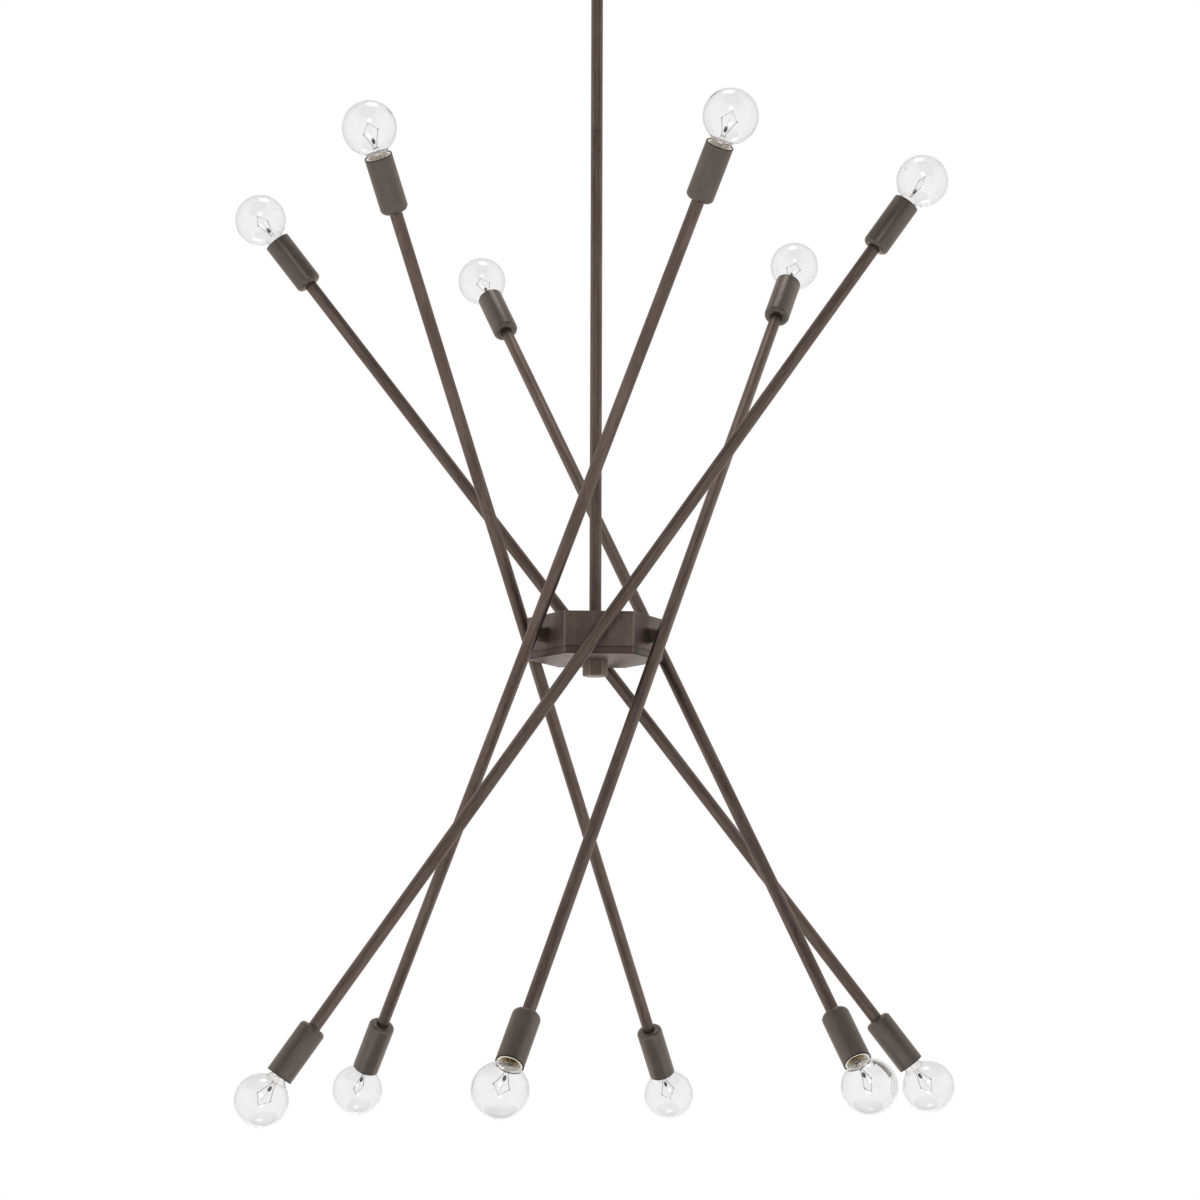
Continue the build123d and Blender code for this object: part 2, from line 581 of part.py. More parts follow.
with BuildPart() as bulb_mount:
    with BuildSketch(Plane.XY.offset(flare_bottom)):
        Circle(neck_radius - GLASS_WALL - SEAT_ROOM)
    extrude(amount=FLARE_HEIGHT)
    with BuildSketch(Plane.XY.offset(flare_bottom)):
        Circle(STEM_DIAMETER / 2)
    extrude(amount=stem_top - PRESS_HEIGHT - flare_bottom)
    with BuildSketch(Plane.XY.offset(stem_top)):
        Rectangle(PRESS_WIDTH, PRESS_THICKNESS)
    extrude(amount=-PRESS_HEIGHT)
    with BuildSketch(Plane.XY.offset(stem_top)):
        Circle(POST_DIAMETER / 2)
    extrude(amount=bead_bottom - stem_top)
    with BuildSketch(Plane.XY.offset(bead_bottom)):
        Circle(BEAD_DIAMETER / 2)
    extrude(amount=BEAD_HEIGHT)
    with BuildSketch(Plane.XY.offset(stem_top)):
        Rectangle(LEAD_THICKNESS, LEAD_THICKNESS)
    extrude(amount=filament_top - stem_top)
    with BuildLine() as wires:
        Polyline(
            (-LEAD_ROOT, 0, stem_top - LEAD_GRIP),
            (-LEAD_TIP, 0, filament_ends),
            (0, 0, filament_top),
            (LEAD_TIP, 0, filament_ends),
            (LEAD_ROOT, 0, stem_top - LEAD_GRIP),
        )
    with BuildSketch(Plane(origin=wires.line @ 0, x_dir=(0, 1, 0), z_dir=wires.line % 0)):
        Rectangle(LEAD_THICKNESS, LEAD_THICKNESS)
    sweep(path=wires.line, transition=Transition.RIGHT)

# ---------------------------------------------------------------- every arm, from the pieces above
for number in range(ARM_COUNT):
    upper_end = arm_plane(number)
    lower_end = Plane(origin=upper_end.origin, x_dir=upper_end.x_dir, z_dir=-upper_end.z_dir)
    lamp_places = [upper_end.location, lower_end.location]
    bulb_turns = [Location((0, 0, 0), (0, 0, turn)) for turn in BULB_TURNS[number]]
    bulb_places = [place * turn for place, turn in zip(lamp_places, bulb_turns)]
    arm_pieces = {
        "tube": (tube, [upper_end.location]),
        "swivel": (swivel, [upper_end.location]),
        "sleeves": (sleeve, lamp_places),
        "sockets": (socket, lamp_places),
        "screw_shells": (screw_shell, lamp_places),
        "bulb_bases": (bulb_base, lamp_places),
        "bulb_glass": (bulb_glass, lamp_places),
        "bulb_mounts": (bulb_mount, bulb_places),
    }
    for name, (piece, places) in arm_pieces.items():
        with BuildPart() as placed:
            with Locations(*places):
                add(piece.part)
        keep(placed, f"arm_{number + 1}_{name}")
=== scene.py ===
"""Looks of the sputnik chandelier: mottled bronze arms, sleeves and hub, and clear globe bulbs.

Lengths are in millimetres until a piece is placed, and Blender's own units are metres. A lamp piece
is drawn once, with its Z axis along the arm's tube, and a node tree puts it on both ends of an arm.
"""

import json
import math

import bmesh
import bpy
from mathutils import Matrix, Vector


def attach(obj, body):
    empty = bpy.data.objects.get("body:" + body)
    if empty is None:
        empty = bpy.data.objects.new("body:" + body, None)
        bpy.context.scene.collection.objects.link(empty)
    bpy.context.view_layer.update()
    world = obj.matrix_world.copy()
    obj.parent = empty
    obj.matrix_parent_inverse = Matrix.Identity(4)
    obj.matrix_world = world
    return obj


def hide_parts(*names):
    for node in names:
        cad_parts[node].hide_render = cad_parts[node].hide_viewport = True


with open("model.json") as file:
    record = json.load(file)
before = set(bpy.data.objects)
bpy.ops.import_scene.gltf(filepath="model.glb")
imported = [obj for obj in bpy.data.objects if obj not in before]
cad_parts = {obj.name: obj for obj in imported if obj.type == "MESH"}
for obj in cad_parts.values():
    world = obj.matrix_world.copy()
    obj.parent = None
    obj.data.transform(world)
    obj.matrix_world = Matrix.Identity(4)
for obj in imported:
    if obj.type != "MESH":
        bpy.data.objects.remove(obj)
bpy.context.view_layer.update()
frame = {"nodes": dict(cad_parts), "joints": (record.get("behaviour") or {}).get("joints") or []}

MM = 0.001
scene = bpy.context.scene

# ---------------------------------------------------------------- sizes, as in the frame
ARM_TILTS = (35.2, 37.0, 37.7, 37.8, 36.3, 37.0)  # degrees from upright
BULB_TURNS = ((160, 90), (20, 145), (160, 95), (125, 70), (45, 130), (160, 160))  # upper, lower

# Lamp pieces: places along the arm are measured from the middle of its tube
TUBE_END = 481.0
TUBE_RADIUS = 6.2
TUBE_BORE = 5.2
SEAT_ROOM = 0.05

SLEEVE_START = 471.0
SLEEVE_MOUTH = 528.0
SLEEVE_RADIUS = 13.4
SLEEVE_WALL = 1.2
SLEEVE_SHOULDER = 4.8
SLEEVE_SEAM = 0.35
SLEEVE_LIP = SLEEVE_WALL / 3

SOCKET_FLOOR = 501.6
SOCKET_FLOOR_THICKNESS = 3.0
SOCKET_MOUTH = 527.4
SOCKET_MOUTH_RADIUS = 9.9
SOCKET_STEM_RADIUS = 9.0
SOCKET_SPIGOT = 6.0
SOCKET_WIRE_HOLE = 2.0

SHELL_RIM = 522.0
SHELL_RADIUS = 6.7
SHELL_BORE = 6.2
SHELL_LIP_RADIUS = 9.0
SHELL_FOOT_RADIUS = 4.5
SHELL_RIDGE = 0.22
SHELL_THREAD_START = SOCKET_FLOOR + 2.0
CONTACT_RADIUS = 3.2
CONTACT_HEIGHT = 1.2

CAP_BOTTOM = SOCKET_FLOOR + CONTACT_HEIGHT
CAP_TOP = 519.8
CAP_RADIUS = 5.9
CAP_ROOT = 5.45
CAP_WALL = 0.55
CAP_SKIRT = 506.3
CAP_FLOOR_THICKNESS = 1.0
CAP_RIM = 0.7
CAP_RIM_FLARE = 0.5
CAP_LIP = 0.2
THREAD_PITCH = 2.54
CAP_THREAD_START = CAP_SKIRT + 1.0
CAP_THREAD_TURNS = 4.0
SHELL_THREAD_TURNS = 6.0
SOLDER_RADIUS = 2.0
SOLDER_HEIGHT = 1.0
INSULATOR_TIP_RADIUS = 2.4
INSULATOR_RADIUS = 5.1
INSULATOR_EDGE = 0.2

GLOBE_CENTRE = 556.23
GLOBE_RADIUS = 26.05  # a little inside the solid, whose faces lie inside their own circle
GLASS_WALL = 0.8
NECK_RADIUS = 5.3
NECK_BLEND = 16.0
NECK_FOOT = 511.8
STEM_TOP = 536.23
STEM_RADIUS = 2.3
FLARE_RIM = 1.0
FLARE_WAIST = 3.4
FLARE_WAIST_ROOM = 0.6
FLARE_TOP = 6.5
PRESS_HALF_WIDTH = 2.8
PRESS_HALF_THICKNESS = 1.1
PRESS_HEIGHT = 7.0
PRESS_SHOULDER = 1.8
PRESS_TIP = (0.7, 1.2)
BEAD_RADIUS = 1.7
BEAD_HALF_HEIGHT = 3.0
BEAD_CENTRE = GLOBE_CENTRE - 13.5
LEAD_ROOT = 1.6
LEAD_TIP = 7.5
LEAD_TIP_HEIGHT = GLOBE_CENTRE - 4.0
LEAD_SINK = 1.0
LEAD_RADIUS = 0.3
LEAD_RISE = 3.5
LEAD_REACH = (2.0, 5.0)
CRIMP_RADIUS = 0.55
CRIMP_LENGTH = 1.6
FILAMENT_TOP = GLOBE_CENTRE + 5.5
COIL_RADIUS = 0.26
COIL_WIRE_RADIUS = 0.09
COIL_TURNS = 26.0
SUPPORT_RADIUS = 0.11

# The stem, the canopy's screws and the hub: heights are measured from the ceiling
ROD_RADIUS = 6.0
ROD_BORE = 4.9
ROD_TOP = -206.7
ROD_FOOT = -704.9
ROD_CHAMFER = 0.4

SCREW_RADIUS = 2.05
SCREW_SPACING = 69.85
SCREW_LENGTH = 25.0
SCREW_PITCH = 0.8
SCREW_RIDGE = 0.24
SCREW_BARE_END = 1.0

HUB_CORNER = 67.8
HUB_FACE = 58.7
HUB_GROOVE = -740.9
FINIAL_CORNER = 12.47

# How far an edge is rounded
TUBE_EDGE = 0.3
SOCKET_EDGE = 0.45
METAL_EDGE = 0.2
CONTACT_EDGE = 0.3
GLASS_EDGE = 1.0
PRESS_EDGE = 0.8
ROD_EDGE = 0.15

# How finely a round shape is divided
ROUND_SIDES = 64
GLASS_SIDES = 160
STEM_SIDES = 32
BEAD_SIDES = 24
CRIMP_SIDES = 12
EDGE_STEPS = 3
SHOULDER_STEPS = 12
LIP_STEPS = 4
GLOBE_STEPS = 72
NECK_STEPS = 12
BEAD_STEPS = 16
THREAD_STEPS = 28
LEAD_STEPS = 14
COIL_STEPS = 9


# ---------------------------------------------------------------- camera
CAMERA_PLACE = Vector((-212.1, -3399.4, -1168.5)) * MM
CAMERA_HEADING = math.radians(3.648)
CAMERA_PITCH = math.radians(8.06)
CAMERA_ROLL = math.radians(-0.16)
FOCAL_PIXELS = 3456
FRAME_PIXELS = 1200
SENSOR_WIDTH = 36.0


def make_camera():
    """The photograph's camera: nearly level with the lower lamps and tipped up."""
    forward = Vector((
        math.sin(CAMERA_HEADING) * math.cos(CAMERA_PITCH),
        math.cos(CAMERA_HEADING) * math.cos(CAMERA_PITCH),
        math.sin(CAMERA_PITCH),
    ))
    level = Vector((math.cos(CAMERA_HEADING), -math.sin(CAMERA_HEADING), 0))
    upright = level.cross(forward)
    right = level * math.cos(CAMERA_ROLL) - upright * math.sin(CAMERA_ROLL)
    up = level * math.sin(CAMERA_ROLL) + upright * math.cos(CAMERA_ROLL)
    lens = bpy.data.cameras.new("camera")
    lens.sensor_width = SENSOR_WIDTH
    lens.lens = FOCAL_PIXELS / FRAME_PIXELS * SENSOR_WIDTH
    camera = bpy.data.objects.new("camera", lens)
    turn = Matrix((right, up, -forward)).transposed().to_4x4()
    camera.matrix_world = Matrix.Translation(CAMERA_PLACE) @ turn
    scene.collection.objects.link(camera)
    scene.camera = camera


# ---------------------------------------------------------------- node trees, in short
def add(tree, kind, settings=None, inputs=None):
    """A node with its settings made, and each input set or fed by another node's socket."""
    made = tree.nodes.new(kind)
    for setting, value in (settings or {}).items():
        setattr(made, setting, value)
    for place, value in (inputs or {}).items():
        if isinstance(value, bpy.types.NodeSocket):
            tree.links.new(value, made.inputs[place])
        else:
            made.inputs[place].default_value = value
    return made


def maths(tree, operation, first, second=0.0):
    """One operation on two values, each a number or a socket."""
    return add(tree, "ShaderNodeMath", {"operation": operation}, {0: first, 1: second}).outputs[0]


def new_shape_tree(name, sizes):
    """A geometry tree with named inputs, and its input node."""
    tree = bpy.data.node_groups.new(name, "GeometryNodeTree")
    kinds = {float: "NodeSocketFloat", int: "NodeSocketInt", Vector: "NodeSocketVector"}
    tree.interface.new_socket("Shape", in_out="INPUT", socket_type="NodeSocketGeometry")
    for label, kind in sizes.items():
        tree.interface.new_socket(label, in_out="INPUT", socket_type=kinds[kind])
    tree.interface.new_socket("Finish", in_out="INPUT", socket_type="NodeSocketMaterial")
    tree.interface.new_socket("Shape", in_out="OUTPUT", socket_type="NodeSocketGeometry")
    return tree, tree.nodes.new("NodeGroupInput").outputs


def end_shape_tree(tree, shape, finish):
    """Make every copy real, give it its finish and put it out."""
    real = add(tree, "GeometryNodeRealizeInstances", None, {"Geometry": shape})
    dressed = {"Geometry": real.outputs[0], "Material": finish}
    shown = add(tree, "GeometryNodeSetMaterial", None, dressed)
    add(tree, "NodeGroupOutput", None, {0: shown.outputs[0]})
    return tree


def turn_about(tree, x=0.0, y=0.0, z=0.0):
    """A rotation from angles that may be numbers or sockets."""
    angles = add(tree, "ShaderNodeCombineXYZ", None, {"X": x, "Y": y, "Z": z})
    return add(tree, "FunctionNodeEulerToRotation", None, {0: angles.outputs[0]}).outputs[0]


def point(tree, x=0.0, y=0.0, z=0.0):
    """A point from numbers or sockets."""
    return add(tree, "ShaderNodeCombineXYZ", None, {"X": x, "Y": y, "Z": z}).outputs[0]


def wire(tree, path, radius, sides):
    """A round wire along a curve, with closed ends and smooth sides."""
    ring = {"Resolution": sides, "Radius": radius}
    section = add(tree, "GeometryNodeCurvePrimitiveCircle", None, ring).outputs[0]
    swept = add(tree, "GeometryNodeCurveToMesh", None, {"Curve": path, "Profile Curve": section})
    swept.inputs["Fill Caps"].default_value = True
    return add(tree, "GeometryNodeSetShadeSmooth", None, {"Geometry": swept.outputs[0]}).outputs[0]


def copies(tree, shape, count, turn, place=(0.0, 0.0, 0.0)):
    """Copies of a shape on as many points, each with its own turn and place."""
    points = add(tree, "GeometryNodePoints", None, {"Count": count, "Position": place})
    stands = {"Points": points.outputs[0], "Instance": shape, "Rotation": turn}
    return add(tree, "GeometryNodeInstanceOnPoints", None, stands).outputs[0]


def arm_ends_tree():
    """Puts a piece on one or both ends of an arm: the second copy is turned end for end."""
    sizes = {"Ends": int, "First Turn": float, "Next Turn": float, "Arm Turn": Vector}
    tree, given = new_shape_tree("arm_ends", sizes | {"Arm Centre": Vector, "Pattern Place": Vector})
    number = tree.nodes.new("GeometryNodeInputIndex").outputs[0]
    here = tree.nodes.new("GeometryNodeInputPosition").outputs[0]
    scaled = add(tree, "ShaderNodeVectorMath", {"operation": "SCALE"}, {"Vector": here, "Scale": MM})
    moved = {0: scaled.outputs[0], 1: given["Pattern Place"]}
    pattern = add(tree, "ShaderNodeVectorMath", {"operation": "ADD"}, moved)
    kind = {"data_type": "FLOAT_VECTOR", "domain": "POINT"}
    marked = add(tree, "GeometryNodeStoreNamedAttribute", kind)
    marked.inputs["Name"].default_value = "along_tube"
    tree.links.new(given["Shape"], marked.inputs["Geometry"])
    tree.links.new(pattern.outputs[0], marked.inputs["Value"])
    end_for_end = turn_about(tree, x=maths(tree, "MULTIPLY", number, math.pi))
    both = copies(tree, marked.outputs[0], given["Ends"], end_for_end)
    later = maths(tree, "MULTIPLY_ADD", number, given["Next Turn"])
    tree.links.new(given["First Turn"], later.node.inputs[2])
    own_turn = {"Instances": both, "Rotation": turn_about(tree, z=later)}
    spun = add(tree, "GeometryNodeRotateInstances", None, own_turn)
    spun.inputs["Local Space"].default_value = True
    arm_turn = add(tree, "FunctionNodeEulerToRotation", None, {0: given["Arm Turn"]}).outputs[0]
    moves = {"Geometry": spun.outputs[0], "Translation": given["Arm Centre"], "Rotation": arm_turn}
    placed = add(tree, "GeometryNodeTransform", None, moves | {"Scale": (MM, MM, MM)})
    return end_shape_tree(tree, placed.outputs[0], given["Finish"])


def threads_tree():
    """Rolled or cut threads: a ridge that winds up from its start, on one axis or on a row of them."""
    sizes = {"Radius": float, "Ridge": float, "Pitch": float, "Turns": float, "Start": float}
    tree, given = new_shape_tree("threads", sizes | {"Copies": int, "Spacing": float, "Scale": float})
    wound = {"Resolution": THREAD_STEPS, "Rotations": given["Turns"]}
    helix = add(tree, "GeometryNodeCurveSpiral", None, wound)
    helix.inputs["Reverse"].default_value = True
    for end in ("Start Radius", "End Radius"):
        tree.links.new(given["Radius"], helix.inputs[end])
    tree.links.new(maths(tree, "MULTIPLY", given["Pitch"], given["Turns"]), helix.inputs["Height"])
    ridge = wire(tree, helix.outputs[0], given["Ridge"], sides=6)
    number = tree.nodes.new("GeometryNodeInputIndex").outputs[0]
    last = maths(tree, "SUBTRACT", given["Copies"], 1.0)
    steps = maths(tree, "SUBTRACT", number, maths(tree, "MULTIPLY", last, 0.5))
    place = point(tree, x=maths(tree, "MULTIPLY", steps, given["Spacing"]), z=given["Start"])
    row = copies(tree, ridge, given["Copies"], turn_about(tree), place)
    scale = point(tree, given["Scale"], given["Scale"], given["Scale"])
    scaled = add(tree, "GeometryNodeTransform", None, {"Geometry": row, "Scale": scale})
    return end_shape_tree(tree, scaled.outputs[0], given["Finish"])


def bulb_wires_tree():
    """A bulb's wires: two leads that open out, the coiled filament between them, and its support."""
    labels = (
        "Root Width", "Root Height", "Tip Width", "Tip Height", "Top Height",
        "Lead Radius", "Coil Radius", "Coil Wire", "Coil Turns", "Support Radius",
    )
    tree, given = new_shape_tree("bulb_wires", dict.fromkeys(labels, float))
    root_x, tip_x = given["Root Width"], given["Tip Width"]
    low, high, top = given["Root Height"], given["Tip Height"], given["Top Height"]
    path = add(tree, "GeometryNodeCurvePrimitiveBezierSegment", None, {"Resolution": LEAD_STEPS})
    bent_x = maths(tree, "SUBTRACT", tip_x, LEAD_REACH[0])
    bent_z = maths(tree, "SUBTRACT", high, LEAD_REACH[1])
    bend = {
        "Start": point(tree, root_x, 0.0, low),
        "Start Handle": point(tree, root_x, 0.0, maths(tree, "ADD", low, LEAD_RISE)),
        "End Handle": point(tree, bent_x, 0.0, bent_z),
        "End": point(tree, tip_x, 0.0, high),
    }
    for label, place in bend.items():
        tree.links.new(place, path.inputs[label])
    lead = wire(tree, path.outputs[0], given["Lead Radius"], sides=8)
    rise = maths(tree, "SUBTRACT", top, high)
    squares = [maths(tree, "POWER", side, 2.0) for side in (rise, tip_x)]
    length = maths(tree, "SQRT", maths(tree, "ADD", *squares))
    lean = maths(tree, "MULTIPLY", maths(tree, "ARCTAN2", tip_x, rise), -1.0)
    wound = {"Resolution": COIL_STEPS, "Rotations": given["Coil Turns"]}
    coil = add(tree, "GeometryNodeCurveSpiral", None, wound)
    for label in ("Start Radius", "End Radius"):
        tree.links.new(given["Coil Radius"], coil.inputs[label])
    tree.links.new(length, coil.inputs["Height"])
    leg = wire(tree, coil.outputs[0], given["Coil Wire"], sides=4)
    clasp = {"Vertices": CRIMP_SIDES, "Radius": CRIMP_RADIUS, "Depth": CRIMP_LENGTH}
    crimp = add(tree, "GeometryNodeMeshCylinder", None, clasp).outputs["Mesh"]
    lay = {"Translation": point(tree, tip_x, 0.0, high), "Rotation": turn_about(tree, y=lean)}
    laid = add(tree, "GeometryNodeTransform", None, lay | {"Geometry": leg})
    hook = add(tree, "GeometryNodeTransform", None, lay | {"Geometry": crimp})
    side = tree.nodes.new("GeometryNodeJoinGeometry")
    for part in (lead, laid.outputs[0], hook.outputs[0]):
        tree.links.new(part, side.inputs[0])
    number = tree.nodes.new("GeometryNodeInputIndex").outputs[0]
    opposite = turn_about(tree, z=maths(tree, "MULTIPLY", number, math.pi))
    both = copies(tree, side.outputs[0], 2, opposite)
    line = {"Start": point(tree, 0.0, 0.0, low), "End": point(tree, 0.0, 0.0, top)}
    middle = add(tree, "GeometryNodeCurvePrimitiveLine", None, line)
    support = wire(tree, middle.outputs[0], given["Support Radius"], sides=8)
    everything = tree.nodes.new("GeometryNodeJoinGeometry")
    for part in (both, support):
        tree.links.new(part, everything.inputs[0])
    return end_shape_tree(tree, everything.outputs[0], given["Finish"])


def grow(tree, name, start=None, **sizes):
    """Run a shape tree on a mesh, or on nothing, and keep its result as a plain mesh."""
    template = start or bpy.data.meshes.new(name)
    if not template.materials:
        template.materials.append(sizes["Finish"])
    holder = bpy.data.objects.new(name, template)
    scene.collection.objects.link(holder)
    modifier = holder.modifiers.new("shape", "NODES")
    modifier.node_group = tree
    wanted = {label.replace("_", " "): value for label, value in sizes.items()}
    for socket in tree.interface.items_tree:
        if socket.in_out == "INPUT" and socket.name in wanted:
            modifier[socket.identifier] = wanted[socket.name]
    depsgraph = bpy.context.evaluated_depsgraph_get()
    mesh = bpy.data.meshes.new_from_object(holder.evaluated_get(depsgraph), depsgraph=depsgraph)
    bpy.data.objects.remove(holder)
    mesh.name = name
    return mesh


# ---------------------------------------------------------------- turned meshes
SHARP_ANGLE = math.radians(32)
ON_AXIS = 1e-6
MOST_ROUNDED = 0.45  # share of the shorter side of a corner


def arc(centre, radius, start, end, steps):
    """Points (radius, height) along a round stretch of an outline, with its angles in degrees."""
    angles = [math.radians(start + (end - start) * step / steps) for step in range(steps + 1)]
    return [(centre[0] + radius * math.cos(a), centre[1] + radius * math.sin(a)) for a in angles]


def softened(corners, radius):
    """A closed outline with each of its corners off the axis rounded a little."""
    rounded = []
    for number, corner in enumerate(corners):
        here = Vector(corner)
        if here.x < ON_AXIS:
            rounded.append(corner)
            continue
        before = Vector(corners[number - 1]) - here
        after = Vector(corners[(number + 1) % len(corners)]) - here
        reach = min(radius, before.length * MOST_ROUNDED, after.length * MOST_ROUNDED)
        first = here + before.normalized() * reach
        last = here + after.normalized() * reach
        for step in range(EDGE_STEPS + 1):
            share = step / EDGE_STEPS
            spot = first * (1 - share) ** 2 + here * 2 * share * (1 - share) + last * share ** 2
            rounded.append(tuple(spot))
    return rounded


def turned(name, outline, sides=ROUND_SIDES, flatten=1.0, unit=1.0):
    """A closed solid turned about Z from the outline of its section."""
    shape = bmesh.new()
    rings = []
    for radius, height in outline:
        count = sides if radius > ON_AXIS else 1
        angles = [2 * math.pi * step / sides for step in range(count)]
        ring = [(radius * math.cos(a), radius * flatten * math.sin(a), height) for a in angles]
        rings.append([shape.verts.new(Vector(spot) * unit) for spot in ring])
    for low, high in zip(rings, rings[1:] + rings[:1]):
        if len(low) == len(high) == 1:
            continue
        for step in range(sides):
            places = ((low, step), (low, step + 1), (high, step + 1), (high, step))
            corners = [ring[place % len(ring)] for ring, place in places]
            shape.faces.new(dict.fromkeys(corners))
    bmesh.ops.recalc_face_normals(shape, faces=shape.faces)
    mesh = bpy.data.meshes.new(name)
    shape.to_mesh(mesh)
    shape.free()
    mesh.shade_smooth()
    mesh.set_sharp_from_angle(angle=SHARP_ANGLE)
    return mesh


def joined(name, *meshes):
    """One mesh of several."""
    shape = bmesh.new()
    for mesh in meshes:
        shape.from_mesh(mesh)
    whole = bpy.data.meshes.new(name)
    shape.to_mesh(whole)
    shape.free()
    return whole


def tube_mesh():
    """An arm's tube, over its whole length."""
    corners = [(TUBE_BORE, -TUBE_END), (TUBE_RADIUS, -TUBE_END)]
    corners += [(TUBE_RADIUS, TUBE_END), (TUBE_BORE, TUBE_END)]
    return turned("tube", softened(corners, TUBE_EDGE))


def sleeve_mesh():
    """A plain sleeve with a rounded shoulder, a seam round the tube and an open mouth."""
    hole = TUBE_RADIUS + SEAT_ROOM
    bore = SLEEVE_RADIUS - SLEEVE_WALL
    centre = (SLEEVE_RADIUS - SLEEVE_SHOULDER, SLEEVE_START + SLEEVE_SHOULDER)
    lip_height = SLEEVE_MOUTH - SLEEVE_LIP
    outline = [(hole + SLEEVE_SEAM, SLEEVE_START)]
    outline += arc(centre, SLEEVE_SHOULDER, -90, 0, SHOULDER_STEPS)
    outline += arc((SLEEVE_RADIUS - SLEEVE_LIP, lip_height), SLEEVE_LIP, 0, 90, LIP_STEPS)
    outline += arc((bore + SLEEVE_LIP, lip_height), SLEEVE_LIP, 90, 180, LIP_STEPS)
    outline += arc(centre, SLEEVE_SHOULDER - SLEEVE_WALL, 0, -90, SHOULDER_STEPS)
    outline += [(hole, SLEEVE_START + SLEEVE_WALL), (hole, SLEEVE_START + SLEEVE_SEAM)]
    return turned("sleeve", outline)


def socket_mesh():
    """A moulded socket body with a rounded rim."""
    outer = SLEEVE_RADIUS - SLEEVE_WALL - SEAT_ROOM
    spigot = TUBE_BORE - SEAT_ROOM
    foot = TUBE_END - SOCKET_SPIGOT
    step = SOCKET_FLOOR - SOCKET_FLOOR_THICKNESS
    ledge = SHELL_RIM - (SHELL_RADIUS - SHELL_BORE)
    seat = SHELL_RADIUS + SEAT_ROOM
    corners = [
        (SOCKET_WIRE_HOLE, foot), (spigot, foot), (spigot, TUBE_END), (SOCKET_STEM_RADIUS, TUBE_END),
        (SOCKET_STEM_RADIUS, step), (outer, step), (outer, SOCKET_MOUTH),
        (SOCKET_MOUTH_RADIUS, SOCKET_MOUTH), (SOCKET_MOUTH_RADIUS, ledge), (seat, ledge),
        (seat, SOCKET_FLOOR), (SOCKET_WIRE_HOLE, SOCKET_FLOOR),
    ]
    return turned("socket", softened(corners, SOCKET_EDGE))


def shell_mesh():
    """The screw shell with its turned-out lip, and the contact on the socket's floor."""
    wall = SHELL_RADIUS - SHELL_BORE
    lip = SHELL_RIM - wall
    floor = SOCKET_FLOOR + wall
    corners = [
        (SHELL_FOOT_RADIUS, SOCKET_FLOOR), (SHELL_RADIUS, SOCKET_FLOOR), (SHELL_RADIUS, lip),
        (SHELL_LIP_RADIUS, lip), (SHELL_LIP_RADIUS, SHELL_RIM), (SHELL_BORE, SHELL_RIM),
        (SHELL_BORE, floor), (SHELL_FOOT_RADIUS, floor),
    ]
    shell = turned("lip", softened(corners, METAL_EDGE))
    top = SOCKET_FLOOR + CONTACT_HEIGHT
    corners = [(0, SOCKET_FLOOR), (CONTACT_RADIUS, SOCKET_FLOOR), (CONTACT_RADIUS, top), (0, top)]
    return joined("shell", shell, turned("contact", softened(corners, CONTACT_EDGE)))


def cap_mesh():
    """The bulb's metal cap with its rolled rim, and the solder on its tip."""
    inside = CAP_ROOT - CAP_WALL
    rim = CAP_TOP - CAP_RIM
    floor = CAP_SKIRT + CAP_FLOOR_THICKNESS
    corners = [
        (0, CAP_SKIRT), (CAP_ROOT, CAP_SKIRT), (CAP_ROOT, rim - CAP_RIM_FLARE), (CAP_RADIUS, rim),
        (CAP_RADIUS, CAP_TOP), (inside + CAP_LIP, CAP_TOP), (inside, rim), (inside, floor), (0, floor),
    ]
    skirt = turned("skirt", softened(corners, METAL_EDGE))
    top = CAP_BOTTOM + SOLDER_HEIGHT
    corners = [
        (0, CAP_BOTTOM), (SOLDER_RADIUS * 0.6, CAP_BOTTOM),
        (SOLDER_RADIUS, CAP_BOTTOM + SOLDER_HEIGHT / 2), (SOLDER_RADIUS, top), (0, top),
    ]
    return joined("cap", skirt, turned("solder", softened(corners, METAL_EDGE)))


def insulator_mesh():
    """The dark glass between the cap and its tip."""
    foot = CAP_BOTTOM + SOLDER_HEIGHT
    corners = [
        (0, foot), (INSULATOR_TIP_RADIUS, foot), (INSULATOR_RADIUS, CAP_SKIRT - INSULATOR_EDGE),
        (INSULATOR_RADIUS, CAP_SKIRT), (0, CAP_SKIRT),
    ]
    return turned("insulator", softened(corners, CONTACT_EDGE))


def globe_mesh():
    """The blown globe and its neck, with both faces of the glass."""
    turn = math.degrees(math.acos((NECK_RADIUS + NECK_BLEND) / (GLOBE_RADIUS + NECK_BLEND)))
    blend_centre = (NECK_RADIUS + NECK_BLEND, CAP_TOP)
    globe_centre = (0.0, GLOBE_CENTRE)
    inside = GLOBE_RADIUS - GLASS_WALL
    outline = [(NECK_RADIUS, NECK_FOOT)]
    outline += arc(blend_centre, NECK_BLEND, 180, 180 - turn, NECK_STEPS)[:-1]
    outline += arc(globe_centre, GLOBE_RADIUS, -turn, 90, GLOBE_STEPS)[:-1]
    outline += [(0.0, GLOBE_CENTRE + GLOBE_RADIUS), (0.0, GLOBE_CENTRE + inside)]
    outline += arc(globe_centre, inside, 90, -turn, GLOBE_STEPS)[1:-1]
    outline += arc(blend_centre, NECK_BLEND + GLASS_WALL, 180 - turn, 180, NECK_STEPS)
    outline += [(NECK_RADIUS - GLASS_WALL, NECK_FOOT)]
    return turned("globe", outline, sides=GLASS_SIDES)


